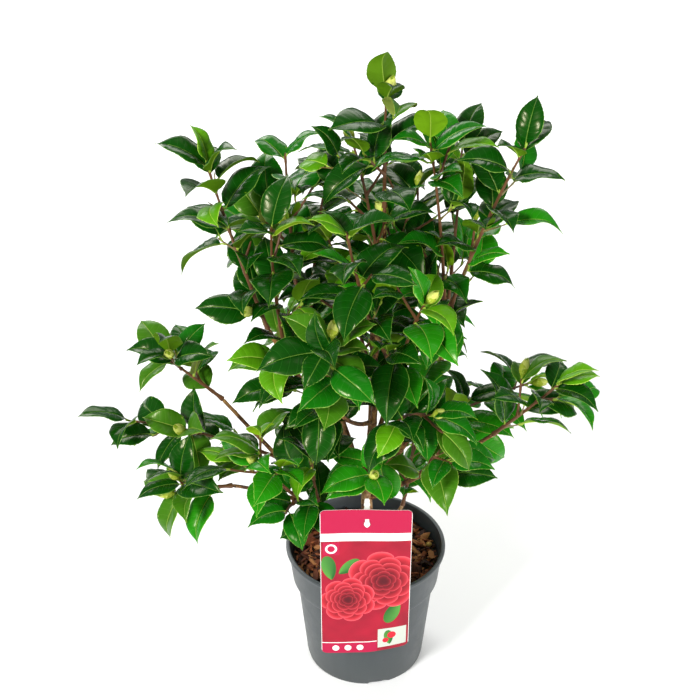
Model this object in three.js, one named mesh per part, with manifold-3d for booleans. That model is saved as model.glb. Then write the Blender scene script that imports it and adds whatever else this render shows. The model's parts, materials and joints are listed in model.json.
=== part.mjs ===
// Potted camellia: a nursery pot of bark mix, a short trunk with two lesser stems,
// tapering boughs, and masses of foliage that grow from the boughs by one seeded rule.
// Millimetres, +Z up, origin at the centre of the pot's flat underside, front towards -Y.

import * as THREE from 'three';
import { mergeVertices } from 'three/addons/utils/BufferGeometryUtils.js';
import Module from 'manifold-3d';

const wasm = await Module();
wasm.setup();

// Driving dimensions of the pot and what is in it.
const POT_HEIGHT = 163;
const POT_RIM_RADIUS = 95;
const POT_LIP_DEPTH = 5;
const POT_COLLAR_RADIUS = 92;
const POT_COLLAR_FOOT_RADIUS = 87.6;
const POT_COLLAR_FOOT_HEIGHT = 118;
const POT_STEP = 5.2;
const POT_BASE_RADIUS = 71.5;
const POT_WALL = 2.4;
const POT_FLOOR = 4;
const POT_SIDES = 28;
const NOTCH_COUNT = 4;
const NOTCH_WIDTH = 24;
const NOTCH_HEIGHT = 3;
const NOTCH_DEPTH = 7;
const NOTCH_TURN = THREE.MathUtils.degToRad(-78);
const MIX_HEIGHT = 145;
const MIX_SIDES = 24;

// Driving dimensions of the care label and of the stake that carries it.
const LABEL_WIDTH = 101;
const LABEL_HEIGHT = 206;
const LABEL_THICKNESS = 0.9;
const LABEL_CORNER = 6;
const LABEL_CENTRE_X = -1;
const LABEL_FOOT = 78;
const LABEL_SLOT_DROP = 13;
const STAKE_WIDTH = 7;
const STAKE_THICKNESS = 1.6;
const STAKE_BACK_Y = -85.4;
const STAKE_RISE = 8;
const TONGUE_THICKNESS = 1.2;
const BARB_LENGTH = 5;
const BARB_HALF_HEIGHT = 1.8;

// Fits between pieces that touch on the real plant.
const GAP = 0.3;

// Facets of the limbs, and how a limb keeps clear of the one that bears it.
const STEM_SIDES = 8;
const BOUGH_SIDES = 5;
const TWIG_SIDES = 3;
const LIMB_STEP = 40;
const FLARE_SHARE = 0.2;
const FOOT_REACH = 1.6;

// Driving dimensions of a leaf and a bud. Shares are of the leaf's length.
const LEAF_LENGTH = 61;
const LEAF_WIDTH_SHARE = 0.57;
const LEAF_THICKNESS_SHARE = 0.026;
const LEAF_ARCH_SHARE = 0.07;
const LEAF_DROOP_SHARE = 0.16;
const LEAF_FOLD = 0.16;
const LEAF_SHOULDER = 0.41;
const LEAF_CHEEK = 0.72;
const LEAF_OUTLINE_FULLNESS = 1.08;
const BUD_LENGTH = 17;
const BUD_RADIUS = 5;
const BUD_BELLY = 0.45;

// The rule that the masses grow by.
const INTERNODE = 23;
const TURN_PER_LEAF = THREE.MathUtils.degToRad(144);
const LEAF_RISE = THREE.MathUtils.degToRad(58);
const SHOOT_SPREAD = THREE.MathUtils.degToRad(48);
const LEAD_FOOT_RADIUS = 2.4;
const SHOOT_FOOT_RADIUS = 1.8;
const TWIG_RADIUS = 1.5;
const LEAD_STEPS = 2;
const LEAD_BOW = 0.12;
const SHOOT_LIFT = 0.12;
const SHOOT_LENGTHS = [0.7, 1];
const FIRST_SHOOT = 0.16;
const SHOOT_ZONE = 0.68;
const FIRST_LEAF = 16;
const LEAF_SIZES = [0.84, 1.16];
const YOUNG_LEAF_SIZES = [0.7, 0.98];
const LEAF_OPENINGS = [0.85, 1.2];
const YOUNG_LEAF_OPENINGS = [0.85, 1.05];
const LAST_LEAF_CLOSING = 0.6;
const THREE_LEAF_CHANCE = 0.6;
const BUD_CHANCE = 0.42;
const LEVELLING = 0.85;
const LEAF_TRIES = 3;
const TRY_TURNS = [0, 0.5, -1];
const TRY_CLOSING = 0.12;
const FACE_SCATTER = 0.35;

// How near leaves may come to one another and to the limbs.
const SAMPLE_STEP = 6.5;
const LEAF_CLEARANCE = 7.4;
const OWN_CLEARANCE = 6.2;
const ROOM_CELL = 16;
const TIP_SPACING = 5;
const LIMB_CLEARANCE = 3.2;
const LOWEST_LEAF = 24;

const UP = new THREE.Vector3(0, 0, 1);

const COLOURS = {
  pot: 0x4a5254,
  mix: 0x5b3519,
  label: 0xb3173f,
  stake: 0xf2f2ee,
  bark: 0x84603f,
  bough: 0x7a5234,
  foliage: 0x146018,
};

// The limbs: each runs from a place on its parent, past a bend, to its tip.
// "at" is the share of the parent's length, and a limb with no parent rises from the mix.
const LIMBS = [
  {
    name: 'trunk', foot: [-1, -2],
    bend: [3, -3, 205], tip: [0, 0, 268], radii: [8, 5.6], flare: 4,
  },
  {
    name: 'left_stem', foot: [-25, -3],
    bend: [-32, -2, 190], tip: [-52, 0, 218], radii: [4.2, 3.4], flare: 1.6,
  },
  {
    name: 'right_stem', foot: [27, 22],
    bend: [32, 26, 172], tip: [45, 35, 190], radii: [3, 2.3], flare: 1.2,
  },
  {
    name: 'central_bough', parent: 'trunk', at: 1,
    bend: [12, -2, 330], tip: [9, 4, 420], radii: [4.4, 3],
  },
  {
    name: 'left_bough', parent: 'trunk', at: 0.97,
    bend: [-34, -8, 316], tip: [-106, -20, 466], radii: [4.2, 2.6],
  },
  {
    name: 'right_bough', parent: 'trunk', at: 0.84,
    bend: [78, 4, 318], tip: [90, 0, 486], radii: [4, 2.6],
  },
  {
    name: 'top_bough', parent: 'central_bough', at: 1,
    bend: [20, 10, 500], tip: [17, 14, 592], radii: [2.9, 2.1],
  },
  {
    name: 'centre_left_bough', parent: 'left_bough', at: 0.14,
    bend: [-58, 26, 372], tip: [-78, 30, 500], radii: [3.2, 2.2],
  },
  {
    name: 'front_bough', parent: 'central_bough', at: 0.22,
    bend: [66, -44, 366], tip: [6, -64, 486], radii: [3.2, 2.2],
  },
  {
    name: 'front_mid_bough', parent: 'central_bough', at: 0.5,
    bend: [-18, -50, 352], tip: [-42, -82, 418], radii: [2.8, 2],
  },
  {
    name: 'right_low_bough', parent: 'trunk', at: 0.68,
    bend: [58, -14, 262], tip: [140, -30, 338], radii: [3.2, 2.1],
  },
  {
    name: 'left_low_bough', parent: 'left_stem', at: 1,
    bend: [-96, 14, 268], tip: [-163, 20, 352], radii: [3.2, 2.1],
  },
  {
    name: 'lowest_left_bough', parent: 'left_stem', at: 0.82,
    bend: [-88, -18, 248], tip: [-150, -52, 284], radii: [2.8, 1.9],
  },
  {
    name: 'front_left_bough', parent: 'left_stem', at: 0.6,
    bend: [-58, -40, 236], tip: [-96, -74, 304], radii: [2.6, 1.9],
  },
  {
    name: 'back_left_bough', parent: 'trunk', at: 0.78,
    bend: [-30, 62, 300], tip: [-62, 96, 404], radii: [3.4, 2.2],
  },
  {
    name: 'back_right_bough', parent: 'trunk', at: 0.9,
    bend: [24, 62, 322], tip: [54, 92, 430], radii: [3.4, 2.2],
  },
  {
    name: 'back_bough', parent: 'trunk', at: 0.6,
    bend: [4, 66, 256], tip: [8, 124, 340], radii: [3.2, 2.1],
  },
];

// The masses of foliage: each grows from a place on its limb to the end of its leading shoot.
// "shoots" counts its side shoots and "reach" is the length of the longest of them.
const MASSES = [
  {
    name: 'top_foliage', limb: 'top_bough', at: 1,
    end: [17, 15, 712], shoots: 3, reach: 44, seed: 10204,
  },
  {
    name: 'crown_left_foliage', limb: 'top_bough', at: 0.5,
    end: [-16, 40, 654], shoots: 4, reach: 46, seed: 1051,
  },
  {
    name: 'centre_right_foliage', limb: 'top_bough', at: 0.26,
    end: [52, 36, 606], shoots: 4, reach: 50, seed: 8266,
  },
  {
    name: 'centre_foliage', limb: 'central_bough', at: 0.74,
    end: [-44, 0, 570], shoots: 4, reach: 52, seed: 2554,
  },
  {
    name: 'centre_left_foliage', limb: 'centre_left_bough', at: 1,
    end: [-85, 30, 646], shoots: 4, reach: 50, seed: 19069,
  },
  {
    name: 'centre_back_foliage', limb: 'centre_left_bough', at: 0.7,
    end: [-44, 92, 592], shoots: 4, reach: 50, seed: 2073,
  },
  {
    name: 'upper_left_foliage', limb: 'left_bough', at: 1,
    end: [-162, -2, 646], shoots: 5, reach: 52, seed: 12543,
  },
  {
    name: 'left_inner_foliage', limb: 'left_bough', at: 0.86,
    end: [-96, -54, 602], shoots: 3, reach: 46, seed: 15201,
  },
  {
    name: 'left_flank_foliage', limb: 'left_bough', at: 0.62,
    end: [-90, -52, 468], shoots: 3, reach: 40, seed: 5490,
  },
  {
    name: 'front_upper_foliage', limb: 'left_bough', at: 0.4,
    end: [-62, -92, 464], shoots: 4, reach: 46, seed: 15650,
  },
  {
    name: 'upper_right_foliage', limb: 'right_bough', at: 1,
    end: [154, -20, 672], shoots: 4, reach: 54, seed: 15704,
  },
  {
    name: 'right_crown_foliage', limb: 'right_bough', at: 0.87,
    end: [60, -14, 676], shoots: 4, reach: 50, seed: 3823,
  },
  {
    name: 'right_inner_foliage', limb: 'right_bough', at: 0.78,
    end: [98, 50, 642], shoots: 4, reach: 50, seed: 2854,
  },
  {
    name: 'right_flank_foliage', limb: 'right_bough', at: 0.72,
    end: [66, -44, 520], shoots: 3, reach: 44, seed: 14285,
  },
  {
    name: 'right_mid_foliage', limb: 'right_bough', at: 0.36,
    end: [190, 46, 358], shoots: 3, reach: 46, seed: 11811,
  },
  {
    name: 'front_foliage', limb: 'front_bough', at: 1,
    end: [-22, -86, 612], shoots: 4, reach: 48, seed: 5682,
  },
  {
    name: 'front_right_foliage', limb: 'front_bough', at: 0.72,
    end: [56, -94, 538], shoots: 4, reach: 46, seed: 6573,
  },
  {
    name: 'front_low_foliage', limb: 'front_bough', at: 0.4,
    end: [68, -86, 400], shoots: 3, reach: 44, seed: 15834,
  },
  {
    name: 'front_mid_foliage', limb: 'front_mid_bough', at: 1,
    end: [-36, -116, 510], shoots: 4, reach: 48, seed: 4294,
  },
  {
    name: 'trunk_front_foliage', limb: 'front_bough', at: 0.1,
    end: [4, -66, 290], shoots: 2, reach: 30, seed: 6454,
  },
  {
    name: 'right_low_foliage', limb: 'right_low_bough', at: 1,
    end: [206, -40, 410], shoots: 2, reach: 42, seed: 15562,
  },
  {
    name: 'right_low_front_foliage', limb: 'right_low_bough', at: 0.42,
    end: [78, -74, 348], shoots: 3, reach: 38, seed: 9633,
  },
  {
    name: 'right_basal_foliage', limb: 'right_stem', at: 1,
    end: [56, 50, 276], shoots: 2, reach: 36, seed: 3785,
  },
  {
    name: 'left_low_foliage', limb: 'left_low_bough', at: 1,
    end: [-226, 20, 408], shoots: 2, reach: 36, seed: 4223,
  },
  {
    name: 'far_left_foliage', limb: 'left_low_bough', at: 0.5,
    end: [-264, -24, 352], shoots: 3, reach: 34, seed: 12460,
  },
  {
    name: 'lowest_left_foliage', limb: 'lowest_left_bough', at: 1,
    end: [-210, -80, 294], shoots: 2, reach: 36, seed: 25053,
  },
  {
    name: 'front_left_foliage', limb: 'front_left_bough', at: 1,
    end: [-120, -96, 344], shoots: 3, reach: 42, seed: 1068,
  },
  {
    name: 'left_basal_foliage', limb: 'lowest_left_bough', at: 0.35,
    end: [-90, -70, 258], shoots: 2, reach: 30, seed: 7969,
  },
  {
    name: 'trunk_left_foliage', limb: 'front_left_bough', at: 0.25,
    end: [-60, -70, 328], shoots: 2, reach: 34, seed: 7686,
  },
  {
    name: 'back_left_foliage', limb: 'back_left_bough', at: 1,
    end: [-110, 118, 522], shoots: 4, reach: 56, seed: 7182,
  },
  {
    name: 'back_left_low_foliage', limb: 'back_left_bough', at: 0.66,
    end: [-106, 118, 382], shoots: 4, reach: 54, seed: 1842,
  },
  {
    name: 'back_right_foliage', limb: 'back_right_bough', at: 1,
    end: [56, 112, 580], shoots: 4, reach: 56, seed: 8016,
  },
  {
    name: 'back_right_low_foliage', limb: 'back_right_bough', at: 0.6,
    end: [82, 122, 410], shoots: 4, reach: 54, seed: 3996,
  },
  {
    name: 'back_foliage', limb: 'back_bough', at: 0.85,
    end: [6, 150, 504], shoots: 4, reach: 54, seed: 16202,
  },
  {
    name: 'back_low_foliage', limb: 'back_bough', at: 1,
    end: [20, 204, 366], shoots: 4, reach: 52, seed: 13218,
  },
];

// One seeded stream of numbers from 0 to 1.
class Draws {
  constructor(seed) {
    this.state = seed;
  }

  next() {
    this.state = (this.state * 1664525 + 1013904223) % 4294967296;
    return this.state / 4294967296;
  }

  between(low, high) {
    return low + (high - low) * this.next();
  }
}

// Solids: from a three.js geometry to a manifold and back.
function toSolid(geometry) {
  const bare = geometry.clone();
  bare.deleteAttribute('normal');
  bare.deleteAttribute('uv');
  const merged = mergeVertices(bare, 1e-4);
  return new wasm.Manifold(new wasm.Mesh({
    numProp: 3,
    vertProperties: Float32Array.from(merged.attributes.position.array),
    triVerts: Uint32Array.from(merged.index.array),
  }));
}

function toGeometry(solid) {
  const mesh = solid.getMesh();
  const geometry = new THREE.BufferGeometry();
  geometry.setAttribute('position', new THREE.BufferAttribute(Float32Array.from(mesh.vertProperties), 3));
  geometry.setIndex(new THREE.BufferAttribute(Uint32Array.from(mesh.triVerts), 1));
  geometry.computeVertexNormals();
  return geometry;
}

// Keeps the largest body, so loose scraps go and sealed hollows are filled.
function largestBody(solid) {
  return solid.decompose().reduce((best, body) => (body.volume() > best.volume() ? body : best));
}

// A limb's route: a quadratic curve past one bend.
function pointOn(route, t) {
  const [start, bend, tip] = route;
  return new THREE.Vector3()
    .addScaledVector(start, (1 - t) * (1 - t))
    .addScaledVector(bend, 2 * t * (1 - t))
    .addScaledVector(tip, t * t);
}

function directionOn(route, t) {
  const [start, bend, tip] = route;
  return new THREE.Vector3()
    .addScaledVector(start, 2 * t - 2)
    .addScaledVector(bend, 2 - 4 * t)
    .addScaledVector(tip, 2 * t)
    .normalize();
}

// A twig's straight stretches run between points of its curve, and leaves sit on them.
function placeOnTwig(twig, t) {
  const step = Math.min(twig.steps - 1, Math.floor(t * twig.steps));
  const from = pointOn(twig.route, step / twig.steps);
  const to = pointOn(twig.route, (step + 1) / twig.steps);
  return from.lerp(to, t * twig.steps - step);
}

function routeLength(route) {
  const steps = 12;
  let length = 0;
  for (let i = 0; i < steps; i += 1) {
    length += pointOn(route, i / steps).distanceTo(pointOn(route, (i + 1) / steps));
  }
  return length;
}

// Two directions square to a heading; the first lies level.
function acrossAndOver(heading) {
  const across = new THREE.Vector3().crossVectors(heading, UP);
  if (across.length() < 0.05) {
    across.set(1, 0, 0);
  }
  across.normalize();
  const over = new THREE.Vector3().crossVectors(across, heading).normalize();
  return [across, over];
}

// A tapering limb: a cylinder whose rings are moved onto the route.
// "past" lengthens it beyond its tip.
function limbGeometry(route, radiusAt, sides, steps, past = 0) {
  const geometry = new THREE.CylinderGeometry(1, 1, 1, sides, steps);
  const position = geometry.attributes.position;
  for (let i = 0; i < position.count; i += 1) {
    const t = position.getY(i) + 0.5;
    const radius = radiusAt(t);
    const heading = directionOn(route, t);
    const [across, over] = acrossAndOver(heading);
    const place = pointOn(route, t)
      .addScaledVector(heading, t > 0.999 ? past : 0)
      .addScaledVector(across, position.getX(i) * radius)
      .addScaledVector(over, position.getZ(i) * radius);
    position.setXYZ(i, place.x, place.y, place.z);
  }
  return geometry;
}

// Fills in each limb's route from its parent's.
function traceLimbs() {
  const limbs = new Map();
  for (const row of LIMBS) {
    const parent = limbs.get(row.parent);
    const start = parent
      ? pointOn(parent.route, row.at)
      : new THREE.Vector3(row.foot[0], row.foot[1], MIX_HEIGHT + GAP);
    const route = [start, new THREE.Vector3(...row.bend), new THREE.Vector3(...row.tip)];
    const [first, last] = row.radii;
    const flare = row.flare ?? 0;
    const radiusAt = (t) => first + (last - first) * t + flare * Math.max(0, 1 - t / FLARE_SHARE) ** 2;
    limbs.set(row.name, { ...row, route, radiusAt, length: routeLength(route) });
  }
  return limbs;
}

// The foot of a limb that stands on the mix is cut flat and level.
function levelFoot(geometry) {
  const position = geometry.attributes.position;
  const level = MIX_HEIGHT + GAP;
  for (let i = 0; i < position.count; i += 1) {
    if (position.getZ(i) < level + FOOT_REACH) {
      position.setZ(i, level);
    }
  }
}

// "extra" thickens and lengthens the limb, for cutting its neighbours clear of it.
function limbSolid(limb, extra) {
  const sides = limb.parent ? BOUGH_SIDES : STEM_SIDES;
  const steps = Math.max(4, Math.round(limb.length / LIMB_STEP));
  const geometry = limbGeometry(limb.route, (t) => limb.radiusAt(t) + extra, sides, steps, extra);
  if (!limb.parent && extra === 0) {
    levelFoot(geometry);
  }
  return toSolid(geometry);
}

// Each limb is cut clear of every limb before it.
function growLimbs(limbs) {
  const before = [];
  for (const limb of limbs.values()) {
    let solid = limbSolid(limb, 0);
    for (const earlier of before) {
      solid = solid.subtract(earlier.cutter);
    }
    limb.solid = largestBody(solid);
    limb.cutter = limbSolid(limb, GAP);
    before.push(limb);
  }
}

// Samples stand for what a leaf has to keep clear of, kept by cell so that near ones are quick to find.
class Room {
  constructor() {
    this.cells = new Map();
  }

  static cellOf(place) {
    return [place.x, place.y, place.z].map((value) => Math.floor(value / ROOM_CELL));
  }

  add(owner, place, clearance, ownClearance = 0) {
    const key = Room.cellOf(place).join();
    if (!this.cells.has(key)) {
      this.cells.set(key, []);
    }
    this.cells.get(key).push({ owner, place, clearance, ownClearance });
  }

  isClear(owner, place, ownShare) {
    const [column, row, layer] = Room.cellOf(place);
    for (let i = column - 1; i <= column + 1; i += 1) {
      for (let j = row - 1; j <= row + 1; j += 1) {
        for (let k = layer - 1; k <= layer + 1; k += 1) {
          for (const sample of this.cells.get([i, j, k].join()) ?? []) {
            const clearance = sample.owner === owner ? sample.ownClearance * ownShare : sample.clearance;
            if (sample.place.distanceToSquared(place) < clearance * clearance) {
              return false;
            }
          }
        }
      }
    }
    return true;
  }

  isFree(owner, places, ownShare = 1) {
    return places.every((place) => {
      const overPot = Math.hypot(place.x, place.y) < POT_RIM_RADIUS + 8;
      return !(overPot && place.z < MIX_HEIGHT + LOWEST_LEAF) && this.isClear(owner, place, ownShare);
    });
  }
}

function fillRoomWithLimbs(room, limbs) {
  for (const limb of limbs.values()) {
    const count = Math.ceil(limb.length / 3);
    for (let i = 0; i <= count; i += 1) {
      const t = i / count;
      room.add(limb.name, pointOn(limb.route, t), limb.radiusAt(t) + LIMB_CLEARANCE);
    }
  }
}

// A leaf as a flattened six-sided sphere: root and tip on its midrib, arched and a little folded.
function leafPoint(leaf, along, across, lift) {
  const arch = LEAF_ARCH_SHARE * 4 * along * (1 - along) - LEAF_DROOP_SHARE * along * along;
  const height = leaf.length * (arch + lift) + LEAF_FOLD * Math.abs(across);
  return leaf.root.clone()
    .addScaledVector(leaf.heading, leaf.length * along)
    .addScaledVector(leaf.side, across)
    .addScaledVector(leaf.face, height);
}

// Where the six corners of the outline lie along the leaf, from their place on the sphere.
function outlineShare(x) {
  if (Math.abs(x) > 0.9) {
    return x > 0 ? 0 : 1;
  }
  return x > 0 ? LEAF_SHOULDER : LEAF_CHEEK;
}

function leafGeometry(leaf) {
  const geometry = new THREE.SphereGeometry(1, 6, 2);
  const position = geometry.attributes.position;
  const halfWidth = leaf.length * LEAF_WIDTH_SHARE * 0.5;
  for (let i = 0; i < position.count; i += 1) {
    const pole = position.getY(i);
    const along = outlineShare(position.getX(i));
    const across = halfWidth * LEAF_OUTLINE_FULLNESS * position.getZ(i);
    const place = Math.abs(pole) > 0.5
      ? leafPoint(leaf, 0.48, 0, pole * LEAF_THICKNESS_SHARE * 0.5)
      : leafPoint(leaf, along, across, 0);
    position.setXYZ(i, place.x, place.y, place.z);
  }
  return geometry;
}

// A leaf's samples: rows across the blade, none on its stalk.
function leafSamples(leaf) {
  const samples = [];
  const rows = Math.round(leaf.length / SAMPLE_STEP);
  for (let row = Math.ceil(rows * 0.2); row <= rows; row += 1) {
    const along = row / rows;
    const halfWidth = leaf.length * LEAF_WIDTH_SHARE * 0.5 * Math.sin(Math.PI * Math.min(along, 0.98));
    const half = Math.floor(halfWidth / SAMPLE_STEP + 0.35);
    for (let step = -half; step <= half; step += 1) {
      samples.push(leafPoint(leaf, along, (half === 0 ? 0 : step / half) * halfWidth, 0));
    }
  }
  return samples;
}

// A bud as a five-sided spindle on the end of its heading.
function budGeometry(bud) {
  const geometry = new THREE.SphereGeometry(1, 5, 2);
  const position = geometry.attributes.position;
  const [across, over] = acrossAndOver(bud.heading);
  for (let i = 0; i < position.count; i += 1) {
    const pole = position.getY(i);
    const onAxis = Math.abs(pole) > 0.5;
    const endShare = pole > 0 ? 1 : 0;
    const place = bud.root.clone()
      .addScaledVector(bud.heading, BUD_LENGTH * (onAxis ? endShare : BUD_BELLY))
      .addScaledVector(across, onAxis ? 0 : position.getX(i) * BUD_RADIUS)
      .addScaledVector(over, onAxis ? 0 : position.getZ(i) * BUD_RADIUS);
    position.setXYZ(i, place.x, place.y, place.z);
  }
  return geometry;
}

// A leaf or shoot leaves its twig at an angle, less steeply up or down from a level twig.
function headingFrom(tangent, turn, opening, draws) {
  const [across, over] = acrossAndOver(tangent);
  const level = 1 - Math.abs(tangent.z);
  const outward = new THREE.Vector3()
    .addScaledVector(across, Math.cos(turn))
    .addScaledVector(over, Math.sin(turn) * (1 - LEVELLING * level) + draws.between(-0.08, 0.16));
  outward.normalize();
  return new THREE.Vector3()
    .addScaledVector(tangent, Math.cos(opening))
    .addScaledVector(outward, Math.sin(opening))
    .normalize();
}

// The blade's upper face looks up and towards the twig's tip.
function placeLeaf(root, tangent, turn, opening, length, draws) {
  const heading = headingFrom(tangent, turn, opening, draws);
  heading.z += draws.between(-0.16, 0.12);
  heading.normalize();
  const wish = UP.clone().addScaledVector(tangent, 0.7);
  wish.x += draws.between(-FACE_SCATTER, FACE_SCATTER);
  wish.y += draws.between(-FACE_SCATTER, FACE_SCATTER) - 0.12;
  const face = wish.addScaledVector(heading, -wish.dot(heading)).normalize();
  const side = new THREE.Vector3().crossVectors(face, heading).normalize();
  return { root, heading, side, face, length };
}

// Grows one mass: a leading shoot, side shoots from it, and leaves and buds on all of them.
class Growth {
  constructor(mass, limb, room) {
    this.mass = mass;
    this.room = room;
    this.draws = new Draws(mass.seed);
    this.leaves = [];
    this.buds = [];
    this.twigs = [];
    const start = pointOn(limb.route, mass.at);
    const end = new THREE.Vector3(...mass.end);
    const bend = start.clone().lerp(end, 0.5);
    bend.addScaledVector(directionOn(limb.route, mass.at), LEAD_BOW * start.distanceTo(end));
    this.lead = { route: [start, bend, end], first: LEAD_FOOT_RADIUS, last: TWIG_RADIUS, steps: LEAD_STEPS };
    this.lead.length = routeLength(this.lead.route);
    this.firstLeaf = FIRST_LEAF + (mass.at < 1 ? limb.radiusAt(mass.at) : -2);
  }

  twigSamples(twig) {
    const count = Math.ceil(twig.length / SAMPLE_STEP);
    return Array.from({ length: count }, (_, i) => pointOn(twig.route, (i + 1) / count));
  }

  addTwig(twig) {
    const samples = this.twigSamples(twig);
    this.twigs.push(twig);
    samples.forEach((place) => this.room.add(this.mass.name, place, LEAF_CLEARANCE));
  }

  // A leaf gets three tries, each drawn in more and turned.
  tryLeaf(root, tangent, turn, opening, length) {
    for (let attempt = 0; attempt < LEAF_TRIES; attempt += 1) {
      const turned = turn + TRY_TURNS[attempt];
      const leaf = placeLeaf(root, tangent, turned, opening - attempt * TRY_CLOSING, length, this.draws);
      const samples = leafSamples(leaf);
      if (this.room.isFree(this.mass.name, samples)) {
        this.leaves.push(leaf);
        samples.forEach((place) => this.room.add(this.mass.name, place, LEAF_CLEARANCE, OWN_CLEARANCE));
        return true;
      }
    }
    return false;
  }

  tryBud(root, heading) {
    const tip = root.clone().addScaledVector(heading, BUD_LENGTH);
    const middle = root.clone().addScaledVector(heading, BUD_LENGTH * 0.5);
    if (this.room.isFree(this.mass.name, [middle, tip], 0.5)) {
      this.buds.push({ root, heading });
      this.room.add(this.mass.name, middle, LEAF_CLEARANCE + 2);
      this.room.add(this.mass.name, tip, LEAF_CLEARANCE);
    }
  }

  // Three or four young leaves and at times a bud close a shoot.
  closeShoot(twig, turn) {
    const tangent = directionOn(twig.route, 1);
    const count = this.draws.next() < THREE_LEAF_CHANCE ? 3 : 4;
    for (let i = 0; i < count; i += 1) {
      const length = LEAF_LENGTH * this.draws.between(...YOUNG_LEAF_SIZES);
      const closing = (LAST_LEAF_CLOSING * i) / (count - 1);
      const opening = LEAF_RISE * this.draws.between(...YOUNG_LEAF_OPENINGS) * (1 - closing);
      const root = placeOnTwig(twig, 1 - ((count - 1 - i) * TIP_SPACING + 1.5) / twig.length);
      this.tryLeaf(root, tangent, turn + i * TURN_PER_LEAF, opening, length);
    }
    if (this.draws.next() < BUD_CHANCE) {
      this.tryBud(placeOnTwig(twig, 0.99), headingFrom(tangent, turn + 1.1, 0.35, this.draws));
    }
  }

  clothe(twig, from, turn) {
    const count = Math.max(1, Math.floor((twig.length - from - 6) / INTERNODE));
    let around = turn;
    for (let i = 0; i < count; i += 1) {
      const t = (from + i * INTERNODE) / twig.length;
      const length = LEAF_LENGTH * this.draws.between(...LEAF_SIZES);
      const opening = LEAF_RISE * this.draws.between(...LEAF_OPENINGS);
      this.tryLeaf(placeOnTwig(twig, t), directionOn(twig.route, t), around, opening, length);
      around += TURN_PER_LEAF;
    }
    this.closeShoot(twig, around);
  }

  growSideShoots() {
    const { mass, lead, draws } = this;
    let turn = draws.between(0, 2 * Math.PI);
    for (let i = 0; i < mass.shoots; i += 1) {
      const t = FIRST_SHOOT + (SHOOT_ZONE * (i + 0.5)) / mass.shoots;
      const root = placeOnTwig(lead, t);
      const heading = headingFrom(directionOn(lead.route, t), turn, SHOOT_SPREAD, draws);
      const length = mass.reach * draws.between(...SHOOT_LENGTHS);
      const end = root.clone().addScaledVector(heading, length);
      end.z += length * SHOOT_LIFT;
      const bend = root.clone().addScaledVector(heading, length * 0.5);
      const route = [root, bend, end];
      const twig = { route, first: SHOOT_FOOT_RADIUS, last: TWIG_RADIUS, steps: 1, length };
      if (this.room.isFree(mass.name, this.twigSamples(twig))) {
        this.addTwig(twig);
        this.clothe(twig, FIRST_LEAF, draws.between(0, 2 * Math.PI));
      }
      turn += TURN_PER_LEAF;
    }
  }

  grow() {
    this.clothe(this.lead, this.firstLeaf, this.draws.between(0, 2 * Math.PI));
    this.growSideShoots();
  }

  solid(limb) {
    const pieces = this.twigs.map((twig) => {
      const radiusAt = (t) => twig.first + (twig.last - twig.first) * t;
      return toSolid(limbGeometry(twig.route, radiusAt, TWIG_SIDES, twig.steps));
    });
    pieces.push(...this.leaves.map((leaf) => toSolid(leafGeometry(leaf))));
    pieces.push(...this.buds.map((bud) => toSolid(budGeometry(bud))));
    const fused = pieces.reduce((whole, piece) => whole.add(piece));
    return largestBody(fused.subtract(limb.cutter));
  }
}

// The pot: a wall of revolution with a deep collar, a rolled lip and notches in the foot.
function potSolid() {
  const bodyTop = POT_COLLAR_FOOT_RADIUS - POT_STEP;
  const lipFoot = POT_HEIGHT - POT_LIP_DEPTH;
  const outline = [
    [0, 0],
    [POT_BASE_RADIUS - 2, 0],
    [POT_BASE_RADIUS, 2],
    [bodyTop, POT_COLLAR_FOOT_HEIGHT - 3],
    [POT_COLLAR_FOOT_RADIUS, POT_COLLAR_FOOT_HEIGHT],
    [POT_COLLAR_RADIUS, lipFoot],
    [POT_RIM_RADIUS, lipFoot + 1],
    [POT_RIM_RADIUS, POT_HEIGHT - 1.2],
    [POT_RIM_RADIUS - 1.5, POT_HEIGHT],
    [POT_RIM_RADIUS - 4.2, POT_HEIGHT],
    [POT_COLLAR_RADIUS - POT_WALL, lipFoot - 1],
    [POT_COLLAR_FOOT_RADIUS - POT_WALL, POT_COLLAR_FOOT_HEIGHT + 1],
    [bodyTop - POT_WALL, POT_COLLAR_FOOT_HEIGHT - 4],
    [POT_BASE_RADIUS - POT_WALL, POT_FLOOR],
    [0, POT_FLOOR],
  ];
  const profile = outline.map(([radius, height]) => new THREE.Vector2(radius, height));
  const lathe = new THREE.LatheGeometry(profile, POT_SIDES);
  lathe.rotateX(Math.PI / 2);
  let pot = toSolid(lathe);
  for (let i = 0; i < NOTCH_COUNT; i += 1) {
    const turn = NOTCH_TURN + (i * 2 * Math.PI) / NOTCH_COUNT;
    const notch = new THREE.BoxGeometry(NOTCH_DEPTH * 2, NOTCH_WIDTH, NOTCH_HEIGHT * 2);
    notch.translate(POT_BASE_RADIUS, 0, 0);
    notch.rotateZ(turn);
    pot = pot.subtract(toSolid(notch));
  }
  return largestBody(pot);
}

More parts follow.
